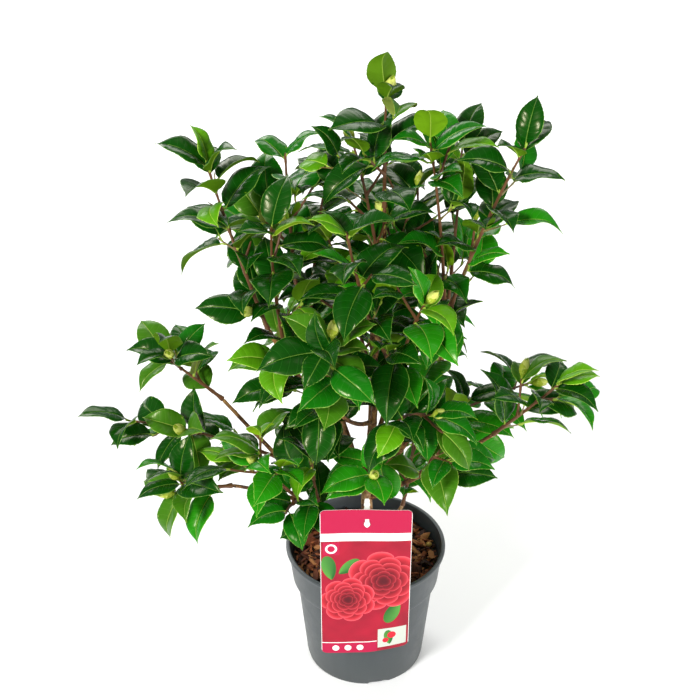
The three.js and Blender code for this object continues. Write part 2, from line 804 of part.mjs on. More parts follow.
// The bark mix fills the pot to its level, a gap clear of the wall.
function mixSolid() {
  const inset = POT_WALL + GAP;
  const bodyTop = POT_COLLAR_FOOT_RADIUS - POT_STEP;
  const collarHeight = POT_HEIGHT - POT_LIP_DEPTH - POT_COLLAR_FOOT_HEIGHT;
  const collarShare = (MIX_HEIGHT - POT_COLLAR_FOOT_HEIGHT) / collarHeight;
  const topRadius = THREE.MathUtils.lerp(POT_COLLAR_FOOT_RADIUS, POT_COLLAR_RADIUS, collarShare);
  const outline = [
    [0, POT_FLOOR + GAP],
    [POT_BASE_RADIUS - inset - 0.5, POT_FLOOR + GAP],
    [bodyTop - inset - 0.5, POT_COLLAR_FOOT_HEIGHT - 4],
    [POT_COLLAR_FOOT_RADIUS - inset - 0.5, POT_COLLAR_FOOT_HEIGHT + 3],
    [topRadius - inset - 0.6, MIX_HEIGHT],
    [0, MIX_HEIGHT],
  ];
  const profile = outline.map(([radius, height]) => new THREE.Vector2(radius, height));
  const lathe = new THREE.LatheGeometry(profile, MIX_SIDES);
  lathe.rotateX(Math.PI / 2);
  return toSolid(lathe);
}

// The label's back stands just in front of the rim.
const LABEL_BACK_Y = -(POT_RIM_RADIUS + GAP);
const LABEL_TOP = LABEL_FOOT + LABEL_HEIGHT;
const TONGUE_LEVEL = LABEL_TOP - LABEL_SLOT_DROP;

function labelSolid() {
  const half = LABEL_WIDTH / 2;
  const card = new THREE.Shape();
  card.moveTo(-half + LABEL_CORNER, 0);
  card.lineTo(half - LABEL_CORNER, 0);
  card.absarc(half - LABEL_CORNER, LABEL_CORNER, LABEL_CORNER, -Math.PI / 2, 0, false);
  card.lineTo(half, LABEL_HEIGHT - LABEL_CORNER);
  card.absarc(half - LABEL_CORNER, LABEL_HEIGHT - LABEL_CORNER, LABEL_CORNER, 0, Math.PI / 2, false);
  card.lineTo(-half + LABEL_CORNER, LABEL_HEIGHT);
  card.absarc(-half + LABEL_CORNER, LABEL_HEIGHT - LABEL_CORNER, LABEL_CORNER, Math.PI / 2, Math.PI, false);
  card.lineTo(-half, LABEL_CORNER);
  card.absarc(-half + LABEL_CORNER, LABEL_CORNER, LABEL_CORNER, Math.PI, 1.5 * Math.PI, false);
  const settings = { depth: LABEL_THICKNESS, bevelEnabled: false, curveSegments: 3 };
  const geometry = new THREE.ExtrudeGeometry(card, settings);
  geometry.rotateX(Math.PI / 2);
  geometry.translate(LABEL_CENTRE_X, LABEL_BACK_Y, LABEL_FOOT);
  const slot = new THREE.BoxGeometry(STAKE_WIDTH + 2 * GAP, LABEL_THICKNESS * 4, TONGUE_THICKNESS + 2 * GAP);
  slot.translate(0, LABEL_BACK_Y - LABEL_THICKNESS / 2, TONGUE_LEVEL);
  return toSolid(geometry).subtract(toSolid(slot));
}

// The stake stands on the mix inside the rim, and its barbed tongue goes through the label's slot.
function stakeSolid() {
  const cardFront = LABEL_BACK_Y - LABEL_THICKNESS - GAP;
  const front = STAKE_BACK_Y - STAKE_THICKNESS;
  const top = LABEL_TOP + STAKE_RISE;
  const half = TONGUE_THICKNESS / 2;
  const outline = [
    [STAKE_BACK_Y, MIX_HEIGHT + GAP],
    [STAKE_BACK_Y, top],
    [front, top],
    [front, TONGUE_LEVEL + half],
    [cardFront, TONGUE_LEVEL + half],
    [cardFront, TONGUE_LEVEL + BARB_HALF_HEIGHT],
    [cardFront - BARB_LENGTH, TONGUE_LEVEL],
    [cardFront, TONGUE_LEVEL - BARB_HALF_HEIGHT],
    [cardFront, TONGUE_LEVEL - half],
    [front, TONGUE_LEVEL - half],
    [front, MIX_HEIGHT + GAP],
  ];
  const side = new THREE.Shape(outline.map(([y, z]) => new THREE.Vector2(y, z)));
  const geometry = new THREE.ExtrudeGeometry(side, { depth: STAKE_WIDTH, bevelEnabled: false });
  geometry.rotateX(Math.PI / 2);
  geometry.rotateZ(Math.PI / 2);
  geometry.translate(-STAKE_WIDTH / 2, 0, 0);
  return toSolid(geometry);
}

function fillRoomWithLabel(room) {
  for (let x = -LABEL_WIDTH / 2; x <= LABEL_WIDTH / 2; x += SAMPLE_STEP) {
    for (let z = LABEL_FOOT; z <= LABEL_TOP + 1; z += SAMPLE_STEP) {
      room.add('label', new THREE.Vector3(LABEL_CENTRE_X + x, LABEL_BACK_Y, z), LEAF_CLEARANCE);
    }
  }
  for (let z = MIX_HEIGHT; z <= LABEL_TOP + STAKE_RISE; z += SAMPLE_STEP) {
    room.add('label', new THREE.Vector3(0, STAKE_BACK_Y, z), LEAF_CLEARANCE);
  }
}

function growMasses(limbs) {
  const room = new Room();
  fillRoomWithLimbs(room, limbs);
  fillRoomWithLabel(room);
  const growths = MASSES.map((mass) => new Growth(mass, limbs.get(mass.limb), room));
  growths.forEach((growth) => growth.addTwig(growth.lead));
  growths.forEach((growth) => growth.grow());
  return growths;
}

function addPiece(group, name, solid, colour, roughness) {
  const material = new THREE.MeshStandardMaterial({ color: colour, roughness, metalness: 0 });
  const mesh = new THREE.Mesh(toGeometry(solid), material);
  mesh.name = name;
  group.add(mesh);
}

function buildPlant() {
  const plant = new THREE.Group();
  const limbs = traceLimbs();
  growLimbs(limbs);
  addPiece(plant, 'pot', potSolid(), COLOURS.pot, 0.5);
  addPiece(plant, 'potting_mix', mixSolid(), COLOURS.mix, 0.95);
  addPiece(plant, 'care_label', labelSolid(), COLOURS.label, 0.4);
  addPiece(plant, 'label_stake', stakeSolid(), COLOURS.stake, 0.4);
  for (const limb of limbs.values()) {
    addPiece(plant, limb.name, limb.solid, limb.parent ? COLOURS.bough : COLOURS.bark, 0.8);
  }
  for (const growth of growMasses(limbs)) {
    const solid = growth.solid(limbs.get(growth.mass.limb));
    addPiece(plant, growth.mass.name, solid, COLOURS.foliage, 0.35);
  }
  return plant;
}

export default buildPlant();
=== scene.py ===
"""Potted camellia: leaves, buds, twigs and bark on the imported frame, with its pot, bark mix and care label.

Lengths are millimetres in the plant's own frame (+Z up, origin at the centre of the pot's underside,
front towards -Y) and become Blender's metres when a mesh is made.
"""

from __future__ import annotations

import json
import logging
import math
from collections import defaultdict
from collections.abc import Iterable, Sequence
from dataclasses import dataclass, field
from enum import Enum

import bpy
import numpy as np
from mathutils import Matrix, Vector, noise

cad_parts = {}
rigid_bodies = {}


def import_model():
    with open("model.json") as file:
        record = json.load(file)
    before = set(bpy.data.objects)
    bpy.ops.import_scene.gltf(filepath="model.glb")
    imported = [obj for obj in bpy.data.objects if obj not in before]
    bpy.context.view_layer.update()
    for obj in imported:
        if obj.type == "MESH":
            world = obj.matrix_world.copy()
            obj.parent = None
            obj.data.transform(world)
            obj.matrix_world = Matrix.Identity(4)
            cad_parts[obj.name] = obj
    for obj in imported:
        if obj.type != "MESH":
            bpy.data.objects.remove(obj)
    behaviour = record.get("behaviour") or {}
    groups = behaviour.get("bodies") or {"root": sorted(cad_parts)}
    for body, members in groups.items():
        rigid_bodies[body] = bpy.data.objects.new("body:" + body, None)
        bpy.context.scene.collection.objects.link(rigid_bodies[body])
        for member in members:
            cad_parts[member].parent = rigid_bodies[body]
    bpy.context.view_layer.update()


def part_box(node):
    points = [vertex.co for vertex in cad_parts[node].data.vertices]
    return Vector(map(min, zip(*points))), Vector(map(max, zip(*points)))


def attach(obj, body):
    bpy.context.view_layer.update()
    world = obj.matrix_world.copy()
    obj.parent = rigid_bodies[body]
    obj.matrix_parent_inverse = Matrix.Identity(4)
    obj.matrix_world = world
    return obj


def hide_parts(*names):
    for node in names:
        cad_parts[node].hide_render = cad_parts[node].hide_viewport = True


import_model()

LOG = logging.getLogger("camellia")
MM = 0.001
UP = np.array([0.0, 0.0, 1.0])

Point = np.ndarray
Cell = tuple[int, int, int]
Triple = tuple[float, float, float]
Pair = tuple[float, float]
Shell = tuple[np.ndarray, list[np.ndarray]]
Material = bpy.types.Material
Piece = bpy.types.Object
Node = bpy.types.Node
Socket = bpy.types.NodeSocket
Tree = bpy.types.NodeTree


# Small helpers for vectors, colours, nodes and meshes.
def unit(vector: Point) -> Point:
    """Returns the vector at length 1."""
    return vector / math.sqrt(float(vector @ vector))


def lerp(low: float, high: float, share: float) -> float:
    """Returns the value that lies at this share of the way from low to high."""
    return low + (high - low) * share


def smooth_step(low: float, high: float, value: np.ndarray) -> np.ndarray:
    """Rises smoothly from 0 at low to 1 at high."""
    share = np.clip((value - low) / (high - low), 0.0, 1.0)
    return share * share * (3.0 - 2.0 * share)


def linear(colour: str) -> tuple[float, float, float, float]:
    """Turns an sRGB hex colour into the linear colour that a shader takes, with an alpha of 1."""
    shares = [int(colour[i:i + 2], 16) / 255 for i in (1, 3, 5)]
    red, green, blue = (c / 12.92 if c <= 0.04045 else ((c + 0.055) / 1.055) ** 2.4 for c in shares)
    return red, green, blue, 1.0


def add_node(tree: Tree, kind: str, values: dict[int | str, object]) -> Node:
    """Adds a node with its settings and links.

    Args:
        tree: the material's node tree.
        kind: Blender's name of the node type, after its common prefix.
        values: each property by its lower-case name, and each input by its own name or number,
            with a value, or with the output or the node that feeds it.

    Returns:
        The new node.
    """
    node = tree.nodes.new(f"ShaderNode{kind}")
    for name, value in values.items():
        if isinstance(value, Node):
            value = value.outputs[0]
        if isinstance(name, str) and name.islower():
            setattr(node, name, value)
        elif isinstance(value, Socket):
            tree.links.new(value, node.inputs[name])
        else:
            node.inputs[name].default_value = value
    return node


def lay_over(tree: Tree, colour: str | Socket, *layers: tuple[Socket | Node, str | Socket]) -> Socket:
    """Lays colours one over another.

    Args:
        tree: the material's node tree.
        colour: the ground.
        layers: for each layer the share that it covers, and its colour.

    Returns:
        The output that gives the colour seen.
    """
    for share, cover in layers:
        low, high = (linear(ink) if isinstance(ink, str) else ink for ink in (colour, cover))
        colour = add_node(tree, "Mix", {"data_type": "RGBA", "Factor": share, 6: low, 7: high}).outputs[2]
    return colour


def new_surface(name: str, inputs: dict[int | str, object]) -> tuple[Material, Node]:
    """Makes a material with one Principled shader, and returns both; the inputs are the shader's own."""
    material = bpy.data.materials.new(name)
    material.use_nodes = True
    tree = material.node_tree
    tree.nodes.clear()
    shader = add_node(tree, "BsdfPrincipled", inputs)
    add_node(tree, "OutputMaterial", {"Surface": shader})
    return material, shader


def turns_round(count: int) -> np.ndarray:
    """Returns this many even angles round a circle."""
    return np.arange(count) * math.tau / count


def across_and_over(heading: Point) -> tuple[Point, Point]:
    """Returns two directions square to a heading, the first of them level."""
    across = np.cross(heading, UP)
    if math.sqrt(float(across @ across)) < 0.05:
        across = np.array([1.0, 0.0, 0.0])
    across = unit(across)
    return across, unit(np.cross(across, heading))


def shell_volume(points: np.ndarray, faces: Sequence[np.ndarray]) -> float:
    """Returns the signed volume inside a closed shell, which is positive where its faces look outwards."""
    centred = points - points.mean(axis=0)
    total = 0.0
    for group in faces:
        first = centred[group[:, 0]]
        for i in range(1, group.shape[1] - 1):
            square = np.cross(centred[group[:, i]], centred[group[:, i + 1]])
            total += float(np.einsum("ij,ij->", first, square))
    return total


class MeshBuffer:
    """Gathers closed shells, in millimetres, into the mesh of one piece."""

    def __init__(self) -> None:
        """Starts with no shell."""
        self.points: list[np.ndarray] = []
        self.faces: list[np.ndarray] = []
        self.slots: list[np.ndarray] = []
        self.maps: list[np.ndarray] = []
        self.count = 0

    def add(
        self, shell: Shell, slots: Sequence[np.ndarray] | int = 0, spots: np.ndarray | None = None
    ) -> None:
        """Adds one closed shell, turned so that its faces look outwards.

        Args:
            shell: its vertices, and arrays of vertex numbers, one array for each number of corners.
            slots: one material number for the shell, or one array for each array of faces.
            spots: for each vertex, where it lies on the pattern's own map.
        """
        points, faces = shell
        turn = -1 if shell_volume(points, faces) < 0 else 1
        for number, group in enumerate(faces):
            self.faces.append(group[:, ::turn] + self.count)
            worn = np.full(len(group), slots) if isinstance(slots, int) else slots[number]
            self.slots.append(worn)
        self.points.append(points)
        if spots is not None:
            self.maps.append(spots)
        self.count += len(points)

    def triangles(self) -> int:
        """Returns how many triangles the faces make."""
        return sum(len(group) * (group.shape[1] - 2) for group in self.faces)

    def build(self, name: str, materials: Sequence[Material], crease: float = 42.0) -> Piece:
        """Makes the mesh object, riding on the plant's one body.

        Args:
            name: the piece's name.
            materials: the materials that the shells' numbers stand for.
            crease: the angle in degrees past which an edge is shaded sharp.

        Returns:
            The new object.
        """
        mesh = bpy.data.meshes.new(name)
        points = np.concatenate(self.points) * MM
        corners = np.concatenate([group.ravel() for group in self.faces])
        sizes = np.concatenate([np.full(len(group), group.shape[1]) for group in self.faces])
        mesh.vertices.add(len(points))
        mesh.vertices.foreach_set("co", points.ravel())
        mesh.loops.add(len(corners))
        mesh.loops.foreach_set("vertex_index", corners.astype(np.int32))
        mesh.polygons.add(len(sizes))
        mesh.polygons.foreach_set("loop_start", (np.cumsum(sizes) - sizes).astype(np.int32))
        mesh.polygons.foreach_set("material_index", np.concatenate(self.slots).astype(np.int32))
        mesh.polygons.foreach_set("use_smooth", np.ones(len(sizes), bool))
        for material in materials:
            mesh.materials.append(material)
        mesh.update(calc_edges=True)
        if self.maps:
            layer = mesh.uv_layers.new(name="bark")
            layer.data.foreach_set("uv", np.concatenate(self.maps)[corners].ravel())
        mesh.validate()
        mesh.set_sharp_from_angle(angle=math.radians(crease))
        piece = bpy.data.objects.new(name, mesh)
        bpy.context.scene.collection.objects.link(piece)
        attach(piece, "root")
        LOG.info("%s: %d triangles", name, self.triangles())
        return piece


def ring_faces(rings: int, sides: int) -> list[np.ndarray]:
    """Returns the side faces and the two end faces of a stack of rings."""
    i, j = np.meshgrid(np.arange(rings - 1), np.arange(sides), indexing="ij")
    low, right = i * sides, (j + 1) % sides
    walls = np.stack([low + j, low + right, low + sides + right, low + sides + j], axis=-1).reshape(-1, 4)
    last = (rings - 1) * sides
    ends = np.array([np.arange(sides)[::-1], last + np.arange(sides)])
    return [walls, ends]


def tube(path: np.ndarray, radii: np.ndarray, sides: int) -> Shell:
    """Lays rings of vertices along a path and joins them.

    Args:
        path: the points that the rings stand on.
        radii: for each ring one radius, or one for each of its sides.
        sides: how many vertices a ring has.

    Returns:
        The tube's shell, with its ends closed.
    """
    headings = np.gradient(path, axis=0)
    across, _ = across_and_over(unit(headings[0]))
    rings = []
    turns = turns_round(sides)
    for place, heading, radius in zip(path, headings, radii):
        forward = unit(heading)
        across = unit(across - forward * (across @ forward))
        over = np.cross(forward, across)
        circle = np.cos(turns)[:, None] * across + np.sin(turns)[:, None] * over
        rings.append(place + circle * np.broadcast_to(radius, (sides,))[:, None])
    return np.concatenate(rings), ring_faces(len(path), sides)


def sheet_faces(rows: int, columns: int) -> tuple[np.ndarray, np.ndarray]:
    """Lays out the faces of a thin sheet, whose points are a grid in front and the same grid behind.

    Args:
        rows: squares up the sheet.
        columns: squares across it.

    Returns:
        The faces in front, and those behind and round the rim.
    """
    count = columns + 1
    total = rows * count
    shift = total + count
    i, j = np.meshgrid(np.arange(rows), np.arange(columns), indexing="ij")
    front = np.stack([i * count + j, i * count + j + 1, (i + 1) * count + j + 1, (i + 1) * count + j], -1)
    front = front.reshape(-1, 4)
    rim = [*range(columns), *range(columns, total + columns, count)]
    rim += [*range(total + columns, total, -1), *range(total, 0, -count)]
    walls = [[after, here, here + shift, after + shift] for here, after in zip(rim, rim[1:] + rim[:1])]
    return front, np.concatenate([front[:, ::-1] + shift, walls])


# The growing rule of the solids, with its own values.
GAP = 0.3
FLARE_SHARE = 0.2
INTERNODE = 23.0
TURN_PER_LEAF = math.radians(144)
LEAF_RISE = math.radians(58)
SHOOT_SPREAD = math.radians(48)
LEAD_FOOT_RADIUS = 2.4
SHOOT_FOOT_RADIUS = 1.8
TWIG_RADIUS = 1.5
LEAD_BOW = 0.12
SHOOT_LIFT = 0.12
SHOOT_LENGTHS = (0.7, 1.0)
FIRST_SHOOT = 0.16
SHOOT_ZONE = 0.68
FIRST_LEAF = 16.0
LEAF_LENGTH = 61.0
LEAF_WIDTH_SHARE = 0.57
LEAF_ARCH_SHARE = 0.07
LEAF_DROOP_SHARE = 0.16
LEAF_FOLD = 0.16
LEAF_SIZES = (0.84, 1.16)
YOUNG_LEAF_SIZES = (0.7, 0.98)
LEAF_OPENINGS = (0.85, 1.2)
YOUNG_LEAF_OPENINGS = (0.85, 1.05)
LAST_LEAF_CLOSING = 0.6
THREE_LEAF_CHANCE = 0.6
BUD_CHANCE = 0.42
BUD_LENGTH = 17.0
LEVELLING = 0.85
TRY_TURNS = (0.0, 0.5, -1.0)
TRY_CLOSING = 0.12
FACE_SCATTER = 0.35
SAMPLE_STEP = 6.5
LEAF_CLEARANCE = 7.4
OWN_CLEARANCE = 6.2
ROOM_CELL = 16.0
TIP_SPACING = 5.0
LIMB_CLEARANCE = 3.2
LOWEST_LEAF = 24.0

# What the finer growth adds to the rule, in the space that the solids leave free.
FINE_SHARE = 0.7
FINE_STEP = 24.0
FINE_TWIG_LENGTHS = (20.0, 34.0)
FINE_LEAF_SIZES = (0.74, 1.06)
FINE_TWIG_RADII = (1.15, 0.85)
FINE_BUD_CHANCE = 0.16

# The pot and the label as the solids have them.
POT_RIM_RADIUS = 95.0
MIX_HEIGHT = 145.0
LABEL_WIDTH = 101.0
LABEL_CENTRE_X = -1.0
LABEL_FOOT = 78.0
LABEL_TOP = 284.0
LABEL_BACK_Y = -(POT_RIM_RADIUS + GAP)
STAKE_BACK_Y = -85.4
STAKE_RISE = 8.0


class Region(Enum):
    """The parts of the crown that the leaves are joined by."""

    TOP = "top"
    UPPER_LEFT = "upper_left"
    UPPER_RIGHT = "upper_right"
    FRONT = "front"
    LOW_LEFT = "low_left"
    LOW_RIGHT = "low_right"
    BACK = "back"


@dataclass(frozen=True)
class LimbRow:
    """A limb of the source: where it starts, the bend that it passes, its tip and its radii."""

    name: str
    bend: Triple
    tip: Triple
    radii: Pair
    parent: str = ""
    at: float = 0.0
    foot: Pair | None = None
    flare: float = 0.0


@dataclass(frozen=True)
class MassRow:
    """A mass of foliage of the source: its limb, where it leaves it, and what grows there."""

    name: str
    region: Region
    limb: str
    at: float
    end: Triple
    shoots: int
    reach: float
    seed: int


STEMS = (
    ("trunk", (3, -3, 205), (0, 0, 268), (8, 5.6), (-1, -2), 4),
    ("left_stem", (-32, -2, 190), (-52, 0, 218), (4.2, 3.4), (-25, -3), 1.6),
    ("right_stem", (32, 26, 172), (45, 35, 190), (3, 2.3), (27, 22), 1.2),
)
BOUGHS = (
    ("central_bough", (12, -2, 330), (9, 4, 420), (4.4, 3), "trunk", 1),
    ("left_bough", (-34, -8, 316), (-106, -20, 466), (4.2, 2.6), "trunk", 0.97),
    ("right_bough", (78, 4, 318), (90, 0, 486), (4, 2.6), "trunk", 0.84),
    ("top_bough", (20, 10, 500), (17, 14, 592), (2.9, 2.1), "central_bough", 1),
    ("centre_left_bough", (-58, 26, 372), (-78, 30, 500), (3.2, 2.2), "left_bough", 0.14),
    ("front_bough", (66, -44, 366), (6, -64, 486), (3.2, 2.2), "central_bough", 0.22),
    ("front_mid_bough", (-18, -50, 352), (-42, -82, 418), (2.8, 2), "central_bough", 0.5),
    ("right_low_bough", (58, -14, 262), (140, -30, 338), (3.2, 2.1), "trunk", 0.68),
    ("left_low_bough", (-96, 14, 268), (-163, 20, 352), (3.2, 2.1), "left_stem", 1),
    ("lowest_left_bough", (-88, -18, 248), (-150, -52, 284), (2.8, 1.9), "left_stem", 0.82),
    ("front_left_bough", (-58, -40, 236), (-96, -74, 304), (2.6, 1.9), "left_stem", 0.6),
    ("back_left_bough", (-30, 62, 300), (-62, 96, 404), (3.4, 2.2), "trunk", 0.78),
    ("back_right_bough", (24, 62, 322), (54, 92, 430), (3.4, 2.2), "trunk", 0.9),
    ("back_bough", (4, 66, 256), (8, 124, 340), (3.2, 2.1), "trunk", 0.6),
)
LIMBS = (
    *(LimbRow(*row, foot=foot, flare=flare) for *row, foot, flare in STEMS),
    *(LimbRow(*row) for row in BOUGHS),
)

# In the order that they grow in.
MASSES = tuple(MassRow(f"{name}_foliage", Region(region), *rest) for name, region, *rest in (
    ("top", "top", "top_bough", 1, (17, 15, 712), 3, 44, 10204),
    ("crown_left", "top", "top_bough", 0.5, (-16, 40, 654), 4, 46, 1051),
    ("centre_right", "top", "top_bough", 0.26, (52, 36, 606), 4, 50, 8266),
    ("centre", "top", "central_bough", 0.74, (-44, 0, 570), 4, 52, 2554),
    ("centre_left", "upper_left", "centre_left_bough", 1, (-85, 30, 646), 4, 50, 19069),
    ("centre_back", "back", "centre_left_bough", 0.7, (-44, 92, 592), 4, 50, 2073),
    ("upper_left", "upper_left", "left_bough", 1, (-162, -2, 646), 5, 52, 12543),
    ("left_inner", "upper_left", "left_bough", 0.86, (-96, -54, 602), 3, 46, 15201),
    ("left_flank", "upper_left", "left_bough", 0.62, (-90, -52, 468), 3, 40, 5490),
    ("front_upper", "front", "left_bough", 0.4, (-62, -92, 464), 4, 46, 15650),
    ("upper_right", "upper_right", "right_bough", 1, (154, -20, 672), 4, 54, 15704),
    ("right_crown", "upper_right", "right_bough", 0.87, (60, -14, 676), 4, 50, 3823),
    ("right_inner", "upper_right", "right_bough", 0.78, (98, 50, 642), 4, 50, 2854),
    ("right_flank", "upper_right", "right_bough", 0.72, (66, -44, 520), 3, 44, 14285),
    ("right_mid", "low_right", "right_bough", 0.36, (190, 46, 358), 3, 46, 11811),
    ("front", "front", "front_bough", 1, (-22, -86, 612), 4, 48, 5682),
    ("front_right", "front", "front_bough", 0.72, (56, -94, 538), 4, 46, 6573),
    ("front_low", "front", "front_bough", 0.4, (68, -86, 400), 3, 44, 15834),
    ("front_mid", "front", "front_mid_bough", 1, (-36, -116, 510), 4, 48, 4294),
    ("trunk_front", "front", "front_bough", 0.1, (4, -66, 290), 2, 30, 6454),
    ("right_low", "low_right", "right_low_bough", 1, (206, -40, 410), 2, 42, 15562),
    ("right_low_front", "low_right", "right_low_bough", 0.42, (78, -74, 348), 3, 38, 9633),
    ("right_basal", "low_right", "right_stem", 1, (56, 50, 276), 2, 36, 3785),
    ("left_low", "low_left", "left_low_bough", 1, (-226, 20, 408), 2, 36, 4223),
    ("far_left", "low_left", "left_low_bough", 0.5, (-264, -24, 352), 3, 34, 12460),
    ("lowest_left", "low_left", "lowest_left_bough", 1, (-210, -80, 294), 2, 36, 25053),
    ("front_left", "low_left", "front_left_bough", 1, (-120, -96, 344), 3, 42, 1068),
    ("left_basal", "low_left", "lowest_left_bough", 0.35, (-90, -70, 258), 2, 30, 7969),
    ("trunk_left", "low_left", "front_left_bough", 0.25, (-60, -70, 328), 2, 34, 7686),
    ("back_left", "back", "back_left_bough", 1, (-110, 118, 522), 4, 56, 7182),
    ("back_left_low", "back", "back_left_bough", 0.66, (-106, 118, 382), 4, 54, 1842),
    ("back_right", "back", "back_right_bough", 1, (56, 112, 580), 4, 56, 8016),
    ("back_right_low", "back", "back_right_bough", 0.6, (82, 122, 410), 4, 54, 3996),
    ("back", "back", "back_bough", 0.85, (6, 150, 504), 4, 54, 16202),
    ("back_low", "back", "back_bough", 1, (20, 204, 366), 4, 52, 13218),
))


class Draws:
    """One seeded stream of numbers from 0 to 1."""

    def __init__(self, seed: int) -> None:
        """Starts the stream from its seed."""
        self.state = seed

    def next(self) -> float:
        """Returns the next number."""
        self.state = (self.state * 1664525 + 1013904223) % 4294967296
        return self.state / 4294967296

    def between(self, low: float, high: float) -> float:
        """Returns the next number, spread between two bounds."""
        return low + (high - low) * self.next()


@dataclass(frozen=True)
class Route:
    """A quadratic curve from a start past a bend to a tip."""

    start: Point
    bend: Point
    tip: Point

    def point(self, t: float) -> Point:
        """Returns the place at a share of the route."""
        return self.start * (1 - t) ** 2 + self.bend * (2 * t * (1 - t)) + self.tip * t ** 2

    def direction(self, t: float) -> Point:
        """Returns the heading at a share of the route."""
        return unit(self.start * (2 * t - 2) + self.bend * (2 - 4 * t) + self.tip * (2 * t))

    def length(self) -> float:
        """Returns the route's length, measured in twelve steps."""
        places = [self.point(i / 12) for i in range(13)]
        return sum(float(np.linalg.norm(b - a)) for a, b in zip(places, places[1:]))


@dataclass(frozen=True)
class Limb:
    """A limb on its route."""

    row: LimbRow
    route: Route
    length: float

    def radius(self, t: float) -> float:
        """Returns the limb's radius at a share of its length, with the flare at its foot."""
        first, last = self.row.radii
        return first + (last - first) * t + self.row.flare * max(0.0, 1 - t / FLARE_SHARE) ** 2


def trace_limbs() -> dict[str, Limb]:
    """Returns every limb by name, each started from its parent."""
    limbs: dict[str, Limb] = {}
    for row in LIMBS:
        if row.parent:
            start = limbs[row.parent].route.point(row.at)
        else:
            start = np.array([row.foot[0], row.foot[1], MIX_HEIGHT + GAP])
        route = Route(start, np.array(row.bend, float), np.array(row.tip, float))
        limbs[row.name] = Limb(row, route, route.length())
    return limbs


class Tone(Enum):
    """The greens that sprays of leaves are dealt, by their place in the list of materials."""

    DEEP = 0
    GLOSSY = 1
    BRIGHT = 2
    OLIVE = 3
    YOUNG = 4


# How far up each green reaches in the draw that deals it to a spray.
TONE_SHARES = ((Tone.DEEP, 0.36), (Tone.GLOSSY, 0.64), (Tone.BRIGHT, 0.87), (Tone.OLIVE, 1.0))
# The greens deepen upwards, as painted shade on the crown's top: the height that has them as dealt, and the
# rise that doubles the pull.
MEAN_GREEN_HEIGHT = 450.0
GREEN_FADE = 420.0


@dataclass
class Twig:
    """A shoot of a mass: its route, radii and straight stretches, and the green of its spray."""

    route: Route
    first: float
    last: float
    steps: int
    length: float
    fine: bool = False
    tone: Tone = Tone.DEEP
    axils: list[float] = field(default_factory=list)

    def place(self, t: float) -> Point:
        """Returns the place on the twig's straight stretches, where leaves sit."""
        step = min(self.steps - 1, math.floor(t * self.steps))
        start = self.route.point(step / self.steps)
        end = self.route.point((step + 1) / self.steps)
        return start + (end - start) * (t * self.steps - step)

    def samples(self) -> np.ndarray:
        """Returns the places that leaves have to keep clear of."""
        count = math.ceil(self.length / SAMPLE_STEP)
        return np.array([self.route.point((i + 1) / count) for i in range(count)])


@dataclass(frozen=True)
class Leaf:
    """Where a leaf sits and how its blade lies."""

    root: Point
    heading: Point
    side: Point
    face: Point
    length: float
    tone: Tone
    axil: Point
    twig_heading: Point

    def at(self, along: np.ndarray, across: np.ndarray) -> np.ndarray:
        """Returns places on the flat outline of the blade, by share of its length and mm to the side."""
        arch = LEAF_ARCH_SHARE * 4 * along * (1 - along) - LEAF_DROOP_SHARE * along ** 2
        return self.lay(self.length * along, across, self.length * arch + LEAF_FOLD * np.abs(across))

    def lay(self, along: np.ndarray, across: np.ndarray, up: np.ndarray) -> np.ndarray:
        """Returns the places that lie this far along, across and above the blade, in mm."""
        level = self.root + np.outer(along, self.heading) + np.outer(across, self.side)
        return level + np.outer(up, self.face)

    def samples(self) -> np.ndarray:
        """Returns rows of places across the blade, none on its stalk."""
        rows = math.floor(self.length / SAMPLE_STEP + 0.5)
        along, across = [], []
        for row in range(math.ceil(rows * 0.2), rows + 1):
            share = row / rows
            half_width = self.length * LEAF_WIDTH_SHARE * 0.5 * math.sin(math.pi * min(share, 0.98))
            half = math.floor(half_width / SAMPLE_STEP + 0.35)
            for step in range(-half, half + 1):
                along.append(share)
                across.append((step / half if half else 0.0) * half_width)
        return self.at(np.array(along), np.array(across))


@dataclass(frozen=True)
class Bud:
    """A flower bud on its stalk."""

    root: Point
    heading: Point
    size: float


class Room:
    """Samples of what grows already, kept by cell so that near ones are quick to find."""

    def __init__(self) -> None:
        """Starts empty."""
        self.cells: dict[Cell, list[tuple[str, float, float, float, float, float]]] = defaultdict(list)

    @staticmethod
    def cell_of(place: Point) -> Cell:
        """Returns the cell that a place lies in."""
        return tuple(math.floor(value / ROOM_CELL) for value in place)

    def add(self, owner: str, places: Iterable[Point], clearance: float, own_clearance: float = 0.0) -> None:
        """Adds samples.

        Args:
            owner: the mass or limb that they belong to.
            places: where they lie.
            clearance: how near another owner's sample may come.
            own_clearance: the same for a sample of the same owner.
        """
        for place in places:
            x, y, z = (float(value) for value in place)
            self.cells[self.cell_of((x, y, z))].append((owner, x, y, z, clearance, own_clearance))

    def is_clear(self, owner: str, place: Point, share: float, own_share: float) -> bool:
        """Tells whether no sample lies too near a place, with the clearances scaled by the shares."""
        x, y, z = (float(value) for value in place)
        column, row, layer = self.cell_of((x, y, z))
        for i in range(column - 1, column + 2):
            for j in range(row - 1, row + 2):
                for k in range(layer - 1, layer + 2):
                    for other, ox, oy, oz, clearance, own in self.cells.get((i, j, k), ()):
                        needed = own * own_share if other == owner else clearance * share
                        if (ox - x) ** 2 + (oy - y) ** 2 + (oz - z) ** 2 < needed * needed:
                            return False
        return True

    def is_free(
        self, owner: str, places: Iterable[Point], share: float = 1.0, own_share: float = 1.0
    ) -> bool:
        """Tells whether all the places are clear, and none lies low over the pot."""
        for place in places:
            over_pot = math.hypot(place[0], place[1]) < POT_RIM_RADIUS + 8
            if over_pot and place[2] < MIX_HEIGHT + LOWEST_LEAF:
                return False
            if not self.is_clear(owner, place, share, own_share):
                return False
        return True


